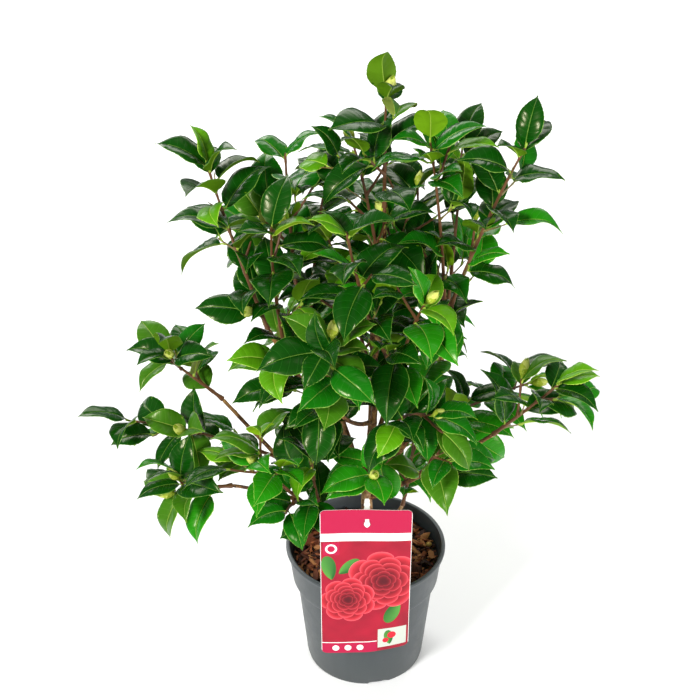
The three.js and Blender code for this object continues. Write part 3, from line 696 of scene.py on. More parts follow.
def heading_from(tangent: Point, turn: float, opening: float, draws: Draws) -> Point:
    """Returns the way that a leaf or shoot leaves its twig, less steeply up or down from a level one."""
    across, over = across_and_over(tangent)
    level = 1 - abs(tangent[2])
    outward = unit(
        across * math.cos(turn)
        + over * (math.sin(turn) * (1 - LEVELLING * level) + draws.between(-0.08, 0.16))
    )
    return unit(tangent * math.cos(opening) + outward * math.sin(opening))


class Growth:
    """One mass: a leading shoot, side shoots from it, and leaves and buds on all of them."""

    def __init__(self, row: MassRow, limb: Limb, room: Room) -> None:
        """Lays the leading shoot from its limb, in the room that all masses share."""
        self.row = row
        self.limb = limb
        self.room = room
        self.draws = Draws(row.seed)
        self.tones = Draws(row.seed + 1)
        self.leaves: list[Leaf] = []
        self.buds: list[Bud] = []
        self.twigs: list[Twig] = []
        start = limb.route.point(row.at)
        end = np.array(row.end, float)
        bow = LEAD_BOW * float(np.linalg.norm(end - start))
        bend = start + (end - start) * 0.5 + limb.route.direction(row.at) * bow
        route = Route(start, bend, end)
        self.lead = Twig(route, LEAD_FOOT_RADIUS, TWIG_RADIUS, 2, route.length(), tone=self.deal_tone())
        self.first_leaf = FIRST_LEAF + (limb.radius(row.at) if row.at < 1 else -2)
        self.share = 1.0
        low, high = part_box(row.name)
        self.low = np.array(low) / MM
        self.high = np.array(high) / MM

    def deal_tone(self) -> Tone:
        """Returns the green of the next spray, dealt at random but deeper the higher up the crown it stands,
        as painted shade on the crown's top.
        """
        draw = self.tones.next() ** (1 + (self.row.end[2] - MEAN_GREEN_HEIGHT) / GREEN_FADE)
        return next(tone for tone, reach in TONE_SHARES if draw < reach)

    def add_twig(self, twig: Twig) -> None:
        """Adds a twig and fills its room."""
        self.twigs.append(twig)
        self.room.add(self.row.name, twig.samples(), LEAF_CLEARANCE)

    def lay_leaf(
        self, twig: Twig, t: float, tangent: Point, turn: float, opening: float, length: float
    ) -> Leaf:
        """Lays a blade so that its upper face looks up and towards the twig's tip."""
        heading = heading_from(tangent, turn, opening, self.draws)
        heading = unit(heading + UP * self.draws.between(-0.16, 0.12))
        wish = UP + tangent * 0.7
        sideways = self.draws.between(-FACE_SCATTER, FACE_SCATTER)
        forwards = self.draws.between(-FACE_SCATTER, FACE_SCATTER) - 0.12
        wish = wish + np.array([sideways, forwards, 0.0])
        face = unit(wish - heading * (wish @ heading))
        side = unit(np.cross(face, heading))
        return Leaf(twig.place(t), heading, side, face, length, twig.tone, twig.route.point(t), tangent)

    def try_leaf(
        self, twig: Twig, t: float, tangent: Point, turn: float, opening: float, length: float
    ) -> bool:
        """Tries a leaf three times, each time drawn in more and turned.

        Args:
            twig: the twig that bears it.
            t: where on the twig it sits.
            tangent: the twig's heading there.
            turn: the angle round the twig.
            opening: the angle from the twig's heading.
            length: the leaf's length.

        Returns:
            Whether it found room.
        """
        for attempt, extra_turn in enumerate(TRY_TURNS):
            leaf = self.lay_leaf(twig, t, tangent, turn + extra_turn, opening - attempt * TRY_CLOSING, length)
            samples = leaf.samples()
            if self.share < 1 and not self.within_reach(samples):
                continue
            if self.room.is_free(self.row.name, samples, self.share, self.share):
                self.leaves.append(leaf)
                twig.axils.append(t)
                self.room.add(self.row.name, samples, LEAF_CLEARANCE, OWN_CLEARANCE)
                return True
        return False

    def within_reach(self, places: np.ndarray) -> bool:
        """Tells whether the places lie in the box of the mass's solid."""
        return bool(np.all(places > self.low) and np.all(places < self.high))

    def try_bud(self, root: Point, heading: Point) -> None:
        """Adds a bud if there is room for it."""
        middle = root + heading * (BUD_LENGTH * 0.5)
        tip = root + heading * BUD_LENGTH
        if self.room.is_free(self.row.name, [middle, tip], self.share, 0.5):
            self.buds.append(Bud(root, heading, lerp(0.86, 1.08, self.tones.next())))
            self.room.add(self.row.name, [middle], LEAF_CLEARANCE + 2)
            self.room.add(self.row.name, [tip], LEAF_CLEARANCE)

    def close_shoot(self, twig: Twig, turn: float) -> None:
        """Closes a shoot with three or four young leaves and at times a bud."""
        tangent = twig.route.direction(1.0)
        count = 3 if self.draws.next() < THREE_LEAF_CHANCE else 4
        for i in range(count):
            length = LEAF_LENGTH * self.draws.between(*YOUNG_LEAF_SIZES)
            closing = LAST_LEAF_CLOSING * i / (count - 1)
            opening = LEAF_RISE * self.draws.between(*YOUNG_LEAF_OPENINGS) * (1 - closing)
            t = 1 - ((count - 1 - i) * TIP_SPACING + 1.5) / twig.length
            self.try_leaf(twig, t, tangent, turn + i * TURN_PER_LEAF, opening, length)
        if self.draws.next() < BUD_CHANCE:
            self.try_bud(twig.place(0.99), heading_from(tangent, turn + 1.1, 0.35, self.draws))

    def clothe(self, twig: Twig, start: float, turn: float) -> None:
        """Sets leaves along a twig from a place on it, and closes it."""
        count = max(1, math.floor((twig.length - start - 6) / INTERNODE))
        for i in range(count):
            t = (start + i * INTERNODE) / twig.length
            length = LEAF_LENGTH * self.draws.between(*LEAF_SIZES)
            opening = LEAF_RISE * self.draws.between(*LEAF_OPENINGS)
            self.try_leaf(twig, t, twig.route.direction(t), turn + i * TURN_PER_LEAF, opening, length)
        self.close_shoot(twig, turn + count * TURN_PER_LEAF)

    def shoot_from(self, bearer: Twig, t: float, heading: Point, length: float, radii: Pair) -> Twig:
        """Returns a shoot that leaves its bearer at t and lifts a little towards its tip."""
        root = bearer.place(t)
        end = root + heading * length + UP * (length * SHOOT_LIFT)
        route = Route(root, root + heading * (length * 0.5), end)
        return Twig(route, radii[0], radii[1], 1, length, tone=self.deal_tone())

    def grow_side_shoots(self) -> None:
        """Grows the side shoots of the leading shoot."""
        turn = self.draws.between(0, math.tau)
        for i in range(self.row.shoots):
            t = FIRST_SHOOT + SHOOT_ZONE * (i + 0.5) / self.row.shoots
            heading = heading_from(self.lead.route.direction(t), turn, SHOOT_SPREAD, self.draws)
            length = self.row.reach * self.draws.between(*SHOOT_LENGTHS)
            twig = self.shoot_from(self.lead, t, heading, length, (SHOOT_FOOT_RADIUS, TWIG_RADIUS))
            if self.room.is_free(self.row.name, twig.samples()):
                self.add_twig(twig)
                self.clothe(twig, FIRST_LEAF, self.draws.between(0, math.tau))
            turn += TURN_PER_LEAF

    def grow(self) -> None:
        """Grows what the solid has."""
        self.clothe(self.lead, self.first_leaf, self.draws.between(0, math.tau))
        self.grow_side_shoots()

    def fill_out(self) -> None:
        """Carries the mass on to finer twigs and to leaves in the space still free, within the same reach."""
        self.share = FINE_SHARE
        for bearer in list(self.twigs):
            turn = self.draws.between(0, math.tau)
            for step in range(math.floor((bearer.length - 6) / FINE_STEP)):
                t = (FIRST_LEAF * 0.8 + step * FINE_STEP) / bearer.length
                if t > 0.94:
                    break
                self.grow_fine_twig(bearer, t, turn)
                turn += TURN_PER_LEAF

    def grow_fine_twig(self, bearer: Twig, t: float, turn: float) -> None:
        """Grows a fine twig with two or three leaves, or a single leaf where there is no room for it."""
        draws = self.draws
        tangent = bearer.route.direction(t)
        heading = heading_from(tangent, turn, SHOOT_SPREAD, draws)
        twig = self.shoot_from(bearer, t, heading, draws.between(*FINE_TWIG_LENGTHS), FINE_TWIG_RADII)
        twig.fine = True
        kept = len(self.leaves)
        if self.room.is_free(self.row.name, twig.samples()[1:], self.share, self.share):
            end = twig.route.direction(1.0)
            for i in range(3):
                length = LEAF_LENGTH * draws.between(*FINE_LEAF_SIZES)
                opening = LEAF_RISE * draws.between(*YOUNG_LEAF_OPENINGS) * (1 - 0.2 * i)
                place = 1 - ((2 - i) * TIP_SPACING + 1.5) / twig.length
                self.try_leaf(twig, place, end, turn + i * TURN_PER_LEAF, opening, length)
        if len(self.leaves) > kept:
            self.add_twig(twig)
            if draws.next() < FINE_BUD_CHANCE:
                self.try_bud(twig.place(0.99), heading_from(end, turn + 1.1, 0.35, draws))
            return
        length = LEAF_LENGTH * draws.between(*FINE_LEAF_SIZES)
        self.try_leaf(bearer, t, tangent, turn + 1.2, LEAF_RISE * draws.between(*LEAF_OPENINGS), length)


class Camellia:
    """The living plant: its limbs and its masses of foliage, grown in one shared room."""

    def __init__(self) -> None:
        """Traces the limbs and grows every mass, first as the solids have it and then finer."""
        self.limbs = trace_limbs()
        room = Room()
        for name, limb in self.limbs.items():
            count = math.ceil(limb.length / 3)
            for i in range(count + 1):
                clearance = limb.radius(i / count) + LIMB_CLEARANCE
                room.add(name, [limb.route.point(i / count)], clearance)
        room.add("label", self.label_samples(), LEAF_CLEARANCE)
        self.growths = [Growth(row, self.limbs[row.limb], room) for row in MASSES]
        for growth in self.growths:
            growth.add_twig(growth.lead)
        for growth in self.growths:
            growth.grow()
        LOG.info("as the solids: %d leaves, %d twigs, %d buds", *self.counts())
        for growth in self.growths:
            growth.fill_out()
        LOG.info("filled out: %d leaves, %d twigs, %d buds", *self.counts())

    @staticmethod
    def label_samples() -> list[Point]:
        """Returns the places that the label and its stake fill."""
        places = []
        for x in np.arange(-LABEL_WIDTH / 2, LABEL_WIDTH / 2 + 0.001, SAMPLE_STEP):
            for z in np.arange(LABEL_FOOT, LABEL_TOP + 1.001, SAMPLE_STEP):
                places.append(np.array([LABEL_CENTRE_X + x, LABEL_BACK_Y, z]))
        for z in np.arange(MIX_HEIGHT, LABEL_TOP + STAKE_RISE + 0.001, SAMPLE_STEP):
            places.append(np.array([0.0, STAKE_BACK_Y, z]))
        return places

    def counts(self) -> tuple[int, int, int]:
        """Returns how many leaves, twigs and buds have grown."""
        leaves = sum(len(growth.leaves) for growth in self.growths)
        twigs = sum(len(growth.twigs) for growth in self.growths)
        return leaves, twigs, sum(len(growth.buds) for growth in self.growths)


@dataclass
class Dressing:
    """What is dressed from the grown plant."""

    plant: Camellia


# Finishes of the plant.
@dataclass(frozen=True)
class LeafTissue:
    """Living camellia leaf: a thick blade under a smooth waxy skin, which gives soft window-like lights."""

    name: str
    colour: str
    roughness: float = 0.34
    coat: float = 0.08

    def build(self) -> Material:
        """Makes the material, in one plain colour so that each spray keeps its own green when exported."""
        return new_surface(self.name, {
            "Base Color": linear(self.colour),
            "Roughness": self.roughness,
            "IOR": 1.45,
            "Specular IOR Level": 0.22,
            "Specular Tint": linear("#FFF4BE"),
            "Coat Weight": self.coat,
            "Coat Roughness": 0.12,
            "Coat IOR": 1.45,
        })[0]


class BladePart(Enum):
    """The parts of a leaf that take a material of their own."""

    UPPER = 0
    VEIN = 1
    RIB = 2
    UNDER = 3
    STALK = 4


@dataclass(frozen=True)
class LeafPalette:
    """The greens of one tone of leaf, from its upper skin to its stalk."""

    tone: Tone
    upper: str
    vein: str
    rib: str
    under: str
    stalk: str
    roughness: float

    def materials(self) -> list[Material]:
        """Makes the materials in the order of BladePart."""
        parts = (
            ("waxy_upper_skin", self.upper, self.roughness),
            ("side_vein", self.vein, self.roughness + 0.05),
            ("midrib_and_margin", self.rib, 0.42, 0.05),
            # The underside: its own pale green, lightened further as painted light shining through the blade.
            ("matt_underside", self.under, 0.56, 0.0),
            ("stalk_and_lower_rib", self.stalk, 0.45, 0.0),
        )
        tone = self.tone.name.lower()
        return [LeafTissue(f"camellia_leaf_{tone}_{part}", *look).build() for part, *look in parts]


# The undersides' lime greens (fourth column) are partly their own paler colour and partly painted light
# shining through the blade from behind.
PALETTES = tuple(LeafPalette(tone, *look) for tone, look in zip(Tone, (
    ("#083E05", "#124C0E", "#5F8530", "#4C730C", "#86A23A", 0.26),
    ("#105E0A", "#1B6615", "#709639", "#5F8A0D", "#94B040", 0.23),
    ("#1F7A0C", "#2D821D", "#84AA40", "#73A010", "#9DB846", 0.27),
    ("#386A10", "#47761E", "#8AA644", "#7F8F3C", "#A0B648", 0.31),
    ("#4E8A0C", "#5E9A1E", "#A4C44A", "#7CA416", "#B0CC4E", 0.33),
)))


@dataclass(frozen=True)
class BladeForm:
    """A camellia blade: a full oval with a drawn-out point, and side veins that sweep to a toothed margin."""

    stalk_share: float = 0.105
    vein_pairs: int = 7
    sweep: float = 0.15
    rib_half_width: float = 0.42
    vein_half_width: float = 0.0037
    columns: tuple[float, ...] = (1.0, 0.97, 0.72, 0.42, 0.14, 0.0)
    under_columns: tuple[float, ...] = (0.55, 0.0)
    thickness: float = 0.5
    tooth: float = 0.24
    swell: float = 0.74
    pucker: float = 0.24
    groove: float = 0.55
    widest_at: float = 0.43

    def stations(self) -> tuple[np.ndarray, np.ndarray, np.ndarray]:
        """Lays out the rows of vertices.

        Returns:
            Each row's share of the midrib, whether the strip after it is a vein, and how far it swells.
        """
        centres = (np.arange(self.vein_pairs) + 0.8) / (self.vein_pairs + 0.6)
        half = self.vein_half_width
        rows = [(0.0, False, 0.0), (0.035, False, 0.4)]
        for number, centre in enumerate(centres):
            if number:
                rows.append(((centres[number - 1] + centre) / 2, False, 1.0))
            rows += [(centre - half, True, 0.0), (centre + half, False, 0.0)]
        rows += [(0.93, False, 0.3), (0.968, False, 0.1), (1.0, False, 0.0)]
        shares, veins, swells = zip(*rows)
        return np.array(shares), np.array(veins), np.array(swells)

    def half_width(self, share: np.ndarray) -> np.ndarray:
        """Returns the blade's half width at a share of its length, 1 at the widest."""
        share = np.clip(share, 0.0, 1.0)
        below = np.clip(share / self.widest_at, 0.0, 1.0)
        above = np.clip((share - self.widest_at) / (1 - self.widest_at), 0.0, 1.0)
        foot = (1 - (1 - below) ** 2.3) ** 0.72
        point = (1 - above ** 2.15) ** 1.05 * (1 - 0.5 * smooth_step(0.78, 0.97, above))
        return foot * point


class LeafTemplate:
    """The vertices and faces that every leaf shares, laid out once and bent for each leaf."""

    def __init__(self, form: BladeForm) -> None:
        """Lays out the blade's grid for the upper face, and a coarser one for the underside."""
        self.form = form
        stations, veins, swells = form.stations()
        sides, shares, unders = [], [], []
        for is_under, columns in ((0.0, form.columns), (1.0, form.under_columns)):
            sides += [-1.0] * len(columns) + [0.0] + [1.0] * len(columns)
            shares += [*columns, 0.0, *reversed(columns)]
            unders += [is_under] * (2 * len(columns) + 1)
        self.upper_count = unders.count(0.0)
        self.row_count = len(stations)
        self.row_size = len(sides)
        self.side = np.tile(sides, self.row_count)
        self.share = np.tile(shares, self.row_count)
        self.is_under = np.tile(unders, self.row_count)
        self.station = np.repeat(stations, self.row_size)
        self.swell = np.repeat(swells, self.row_size)
        self.tooth = np.repeat(np.where(np.arange(self.row_count) % 2 == 0, -1.0, 1.0), self.row_size)
        self.faces, self.parts = self.lay_faces(veins)

    def lay_faces(self, veins: np.ndarray) -> tuple[list[np.ndarray], list[np.ndarray]]:
        """Returns the quads and the end faces, each with the part of the leaf that they show."""
        upper = list(range(self.upper_count))
        under = [0, *range(self.upper_count, self.row_size), self.upper_count - 1]
        middle = self.upper_count // 2
        quads, parts = [], []
        for row in range(self.row_count - 1):
            here, there = row * self.row_size, (row + 1) * self.row_size
            for column in range(self.upper_count - 1):
                quads.append([here + upper[column], here + upper[column + 1],
                              there + upper[column + 1], there + upper[column]])
                if column in (0, middle - 1, middle, self.upper_count - 2):
                    part = BladePart.RIB
                else:
                    part = BladePart.VEIN if veins[row] else BladePart.UPPER
                parts.append(part.value)
            for column in range(len(under) - 1):
                quads.append([here + under[column + 1], here + under[column],
                              there + under[column], there + under[column + 1]])
                inner = 1 < column < len(under) - 3
                parts.append((BladePart.STALK if inner else BladePart.UNDER).value)
        rim = [*upper, *reversed(range(self.upper_count, self.row_size))]
        last = (self.row_count - 1) * self.row_size
        ends = np.array([rim[::-1], [last + i for i in rim]])
        return [np.array(quads), ends], [np.array(parts), np.full(2, BladePart.UNDER.value)]

    def bend(self, leaf: Leaf, draws: Draws) -> np.ndarray:
        """Returns the template's vertices bent to one leaf.

        Args:
            leaf: where the leaf sits and how it lies.
            draws: the numbers that give this leaf its own fold, twist and waves.
        """
        form = self.form
        share = self.share
        station = self.station + form.sweep * np.sin(math.pi * self.station) * share ** 1.15
        along = form.stalk_share + (1 - form.stalk_share) * station
        widest = leaf.length * LEAF_WIDTH_SHARE * 0.5 * draws.between(0.94, 1.1)
        width = widest * form.half_width(station) + 0.25
        rib = np.minimum(form.rib_half_width * (1.3 - 0.9 * station), width * 0.45)
        inner = (self.station > 0) & (self.station < 1) & (share == 1.0)
        margin = width + np.where(inner, form.tooth * self.tooth, 0.0)
        across = self.side * (rib + share * (margin - rib))
        reach = np.abs(across) / widest
        fold = LEAF_FOLD + draws.between(0.0, 0.42) + self.side * draws.between(-0.1, 0.1)
        curl = draws.between(0.12, 0.42)
        beak = draws.between(0.04, 0.2)
        wave = draws.between(0.3, 1.7)
        phase = draws.between(0, math.tau)
        swell = form.swell * self.swell * (1 + 0.5 * np.sin(9.0 * self.station + phase * 3 + 2.0 * self.side))
        height = leaf.length * (
            LEAF_ARCH_SHARE * 4 * along * (1 - along)
            - LEAF_DROOP_SHARE * along ** 2
            - beak * np.clip((along - 0.68) / 0.32, 0, 1) ** 2
        )
        height = height + fold * np.abs(across) - curl * widest * reach ** 2.4
        height = height + wave * share ** 2 * np.sin(math.tau * 1.7 * station + phase + self.side)
        height = height + swell * np.sin(math.pi * share) ** 0.7
        pucker = np.sin(22 * station + 5 * phase + 3 * across / widest)
        height = height + form.pucker * pucker * np.sin(math.pi * share)
        over_rib = (self.side == 0) & (self.is_under == 0)
        height = height - np.where(over_rib, form.groove * (1 - 0.6 * station), 0.0)
        ridge = np.where(self.side == 0, 0.8 * (1 - 0.7 * station), 0.0)
        height = height - self.is_under * (form.thickness + ridge)
        height = height - np.where(share == 1.0, form.thickness * 0.5, 0.0)
        twist = draws.between(-0.4, 0.4) * (along - 0.2)
        sway = draws.between(-0.06, 0.06) * leaf.length * along ** 2
        sideways = across * np.cos(twist) - height * np.sin(twist) + sway
        upwards = across * np.sin(twist) + height * np.cos(twist)
        return leaf.lay(leaf.length * along, sideways, upwards)


class Foliage(Dressing):
    """The leaves, joined by region of the crown."""

    TEMPLATE = LeafTemplate(BladeForm())
    STALK_SIDES = 6
    YOUNG_BELOW = 0.86 * LEAF_LENGTH
    YOUNG_CHANCE = 0.14

    def stalk(self, leaf: Leaf) -> Shell:
        """Returns the stalk's shell, from the twig's axis to the foot of the blade."""
        share = self.TEMPLATE.form.stalk_share
        foot, end = leaf.at(np.array([share, share + 0.05]), np.zeros(2))
        bend = (leaf.axil + foot) / 2 + leaf.twig_heading * 0.8
        route = Route(leaf.axil, bend, foot)
        path = np.array([*(route.point(t) for t in (0.0, 0.3, 0.6, 0.85)), foot, end])
        path[-1] -= leaf.face * 0.6
        radii = np.array([1.35, 1.05, 0.9, 0.85, 0.85, 0.5]) * (leaf.length / LEAF_LENGTH)
        return tube(path, radii, self.STALK_SIDES)

    def build(self) -> None:
        """Makes one joined piece for each region."""
        materials = [material for palette in PALETTES for material in palette.materials()]
        parts = len(BladePart)
        for number, region in enumerate(Region):
            buffer = MeshBuffer()
            draws = Draws(7001 + number)
            growths = [growth for growth in self.plant.growths if growth.row.region is region]
            for growth in growths:
                for leaf in growth.leaves:
                    first = self.tone_of(leaf, draws).value * parts
                    slots = [part + first for part in self.TEMPLATE.parts]
                    buffer.add((self.TEMPLATE.bend(leaf, draws), self.TEMPLATE.faces), slots)
                    buffer.add(self.stalk(leaf), first + BladePart.STALK.value)
            piece = buffer.build(f"leaves_{region.value}", materials, crease=55)
            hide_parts(*(growth.row.name for growth in growths))

    def tone_of(self, leaf: Leaf, draws: Draws) -> Tone:
        """Returns the leaf's green: its spray's own, or lime where a small leaf is still young."""
        if leaf.length < self.YOUNG_BELOW and draws.next() < self.YOUNG_CHANCE:
            return Tone.YOUNG
        return leaf.tone


@dataclass(frozen=True)
class SoftBark:
    """Young camellia bark: thin, smooth and red-brown, with a slight sheen that gives fine light lines."""

    name: str
    colour: str
    roughness: float = 0.55

    def build(self) -> Material:
        """Makes the material, plain because the twigs are many and joined."""
        look = {"Base Color": linear(self.colour), "Roughness": self.roughness, "IOR": 1.45}
        return new_surface(self.name, look)[0]


class Twigs(Dressing):
    """Every shoot of the masses, with its leaf nodes and the small green buds in its axils."""

    SIDES = 7
    BUD_SIDES = 6
    RING_STEP = 3.0
    RED_BROWN = 0
    GREEN_BROWN = 1
    AXIL_BUD = 2

    def shoot(self, twig: Twig, draws: Draws) -> Shell:
        """Returns a twig's shell, a little thicker at each leaf and at its foot."""
        count = max(5, round(twig.length / self.RING_STEP))
        shares = np.linspace(0.0, 1.0, count + 1)
        path = np.array([twig.route.point(t) for t in shares])
        radii = (twig.first - 0.15) + (twig.last * 0.82 - twig.first) * shares
        for axil in twig.axils:
            radii = radii + 0.4 * np.exp(-(((shares - axil) * twig.length / 2.2) ** 2))
        radii = radii + 0.9 * np.exp(-((shares * twig.length / 4.0) ** 2))
        radii[-1] *= 0.45
        uneven = np.array([[draws.between(0.93, 1.07) for _ in range(self.SIDES)] for _ in shares])
        return tube(path, radii[:, None] * uneven, self.SIDES)

    def axil_bud(self, root: Point, heading: Point, length: float) -> Shell:
        """Returns the small pointed bud that sits in a leaf's axil."""
        shares = np.array([0.0, 0.25, 0.55, 0.8, 1.0])
        path = root + np.outer(shares * length, heading)
        radii = length * np.array([0.2, 0.3, 0.27, 0.15, 0.03])
        return tube(path, radii, self.BUD_SIDES)

    def build(self) -> None:
        """Makes the one joined piece of all twigs."""
        buffer = MeshBuffer()
        draws = Draws(4117)
        for growth in self.plant.growths:
            for twig in growth.twigs:
                buffer.add(self.shoot(twig, draws), self.GREEN_BROWN if twig.fine else self.RED_BROWN)
            for leaf in growth.leaves:
                heading = unit(leaf.twig_heading + leaf.heading * 0.7)
                root = leaf.axil + leaf.heading * 1.2
                buffer.add(self.axil_bud(root, heading, draws.between(3.2, 5.2)), self.AXIL_BUD)
        materials = [
            SoftBark("twig_red_brown_bark", "#603C1E").build(),
            SoftBark("twig_first_year_bark", "#6E6230", 0.48).build(),
            LeafTissue("axil_bud_green_scales", "#8FA83C", 0.45, 0.1).build(),
        ]
        piece = buffer.build("twigs", materials)


class FlowerBuds(Dressing):
    """Fat flower buds: overlapping silky scales round a pointed egg."""

    SCALE_TIERS = ((0.0, 0.42, 2, 0.0), (0.04, 0.66, 2, 1.57), (0.14, 0.86, 2, 0.6), (0.3, 0.99, 2, 2.2))
    SCALE_STEPS = 6
    SCALE_THICKNESS = 0.45
    SCALE_HALF_TURN = 1.42
    LENGTH = 20.5
    RADIUS = 5.0
    CORE_RINGS = 9
    CORE_SIDES = 12
    STALK_RADII = (1.3, 1.5, 2.6)
    STALK_SIDES = 8

    def radius_at(self, share: np.ndarray) -> np.ndarray:
        """Returns the bud's radius at a share of its length: full below the middle, pointed above."""
        share = np.clip(share, 0.0, 1.0)
        return self.RADIUS * (1 - (1 - share) ** 2.4) ** 0.7 * (1 - share ** 1.7) ** 0.9 / 0.636

    def scale(self, low: float, high: float, turn: float, half_turn: float) -> Shell:
        """Returns one scale's shell in the bud's own frame.

        Args:
            low: where it starts, as a share of the bud's length.
            high: where its tip ends.
            turn: its middle, as an angle round the bud.
            half_turn: half its width, as an angle.
        """
        steps = self.SCALE_STEPS
        rows = np.repeat(np.linspace(0, 1, steps + 1), steps + 1)
        columns = np.tile(np.linspace(-1, 1, steps + 1), steps + 1)
        width = half_turn * (1 - rows ** 3.4) ** 0.5 + 0.02
        angle = turn + columns * width
        share = low + (high - low) * (rows - 0.1 * rows * columns ** 2)
        layers = []
        for depth in (0.0, self.SCALE_THICKNESS):
            rise = 0.45 + 0.85 * rows ** 4 - depth - 0.25 * columns ** 2 * rows
            radius = self.radius_at(share) + rise
            place = [np.cos(angle) * radius, np.sin(angle) * radius, share * self.LENGTH]
            layers.append(np.stack(place, axis=1))
        points = np.concatenate(layers)
        return points, [np.concatenate(sheet_faces(steps, steps))]

    def build(self) -> None:
        """Makes the one joined piece of all flower buds."""
        buffer = MeshBuffer()
        draws = Draws(905)
        shares = np.linspace(0.0, 1.0, self.CORE_RINGS)
        for growth in self.plant.growths:
            for bud in growth.buds:
                across, over = across_and_over(bud.heading)
                axes = np.stack([across, over, bud.heading])
                base = bud.root + bud.heading * 1.0
                start = draws.between(0, math.tau)
                core_path = base + np.outer(shares * self.LENGTH * bud.size, bud.heading)
                buffer.add(tube(core_path, self.radius_at(shares) * bud.size * 0.97 + 0.05, self.CORE_SIDES))
                for tier, (low, high, count, shift) in enumerate(self.SCALE_TIERS):
                    for i in range(count):
                        turn = start + shift + i * math.tau / count
                        points, faces = self.scale(low, high, turn, self.SCALE_HALF_TURN)
                        buffer.add((base + points * bud.size @ axes, faces), min(tier, 2))
                stalk = np.array([bud.root - bud.heading * 1.5, bud.root, base + bud.heading * 1.5])
                buffer.add(tube(stalk, np.array(self.STALK_RADII), self.STALK_SIDES))
        materials = [LeafTissue(f"flower_bud_{tier}_scales", *look).build() for tier, *look in (
            ("outer", "#7F9624", 0.5, 0.05), ("green", "#A2B236", 0.46), ("pale", "#C4CC66", 0.46),
        )]
        piece = buffer.build("flower_buds", materials, crease=50)


@dataclass(frozen=True)
class FurrowedBark:
    """Camellia bark on older wood: thin, finely cracked lengthwise, with pale patches and small warts."""

    name: str
    ground: str
    furrow_with_painted_shade: str
    patch: str
    fibre_mm: float
    relief_mm: float

    def build(self) -> Material:
        """Makes the material; its pattern lies on the map of mm round and along the limb."""
        material, shader = new_surface(self.name, {"Roughness": 0.72, "IOR": 1.45})
        tree = material.node_tree
        place = add_node(tree, "UVMap", {"uv_map": "bark"})
        # Fibres are about five times as long as they are wide, and the map counts in hundreds of mm.
        along = add_node(tree, "Mapping", {"Vector": place, "Scale": (1.0, 0.2, 1.0)})
        fibres, patches, warts = (
            add_node(tree, kind, {setting: "2D", "Vector": source, "Scale": 100 / size_mm, **more})
            for kind, setting, source, size_mm, more in (
                ("TexNoise", "noise_dimensions", along, self.fibre_mm, {"Detail": 5.0, "Roughness": 0.62}),
                ("TexNoise", "noise_dimensions", place, 14, {"Detail": 2.0}),
                ("TexVoronoi", "voronoi_dimensions", place, 7, {}),
            )
        )
        layers = [
            (add_node(tree, "MapRange", {"Value": pattern, **reach}), cover)
            for pattern, cover, reach in (
                (fibres, self.ground, {"From Min": 0.42, "From Max": 0.56}),
                (patches, self.patch, {"From Min": 0.5, "From Max": 0.68, "To Max": 0.6}),
                (warts, self.patch, {"From Min": 0.1, "From Max": 0.2, "To Min": 0.7, "To Max": 0.0}),
            )
        ]
        relief = {"Strength": 0.8, "Distance": self.relief_mm * MM, "Height": fibres}
        # The furrow brown shows where the fibres' relief sinks: partly the bark's own darker cracks, partly
        # painted shade in them.
        tree.links.new(lay_over(tree, self.furrow_with_painted_shade, *layers), shader.inputs["Base Color"])
        tree.links.new(add_node(tree, "Bump", relief).outputs[0], shader.inputs["Normal"])
        return material


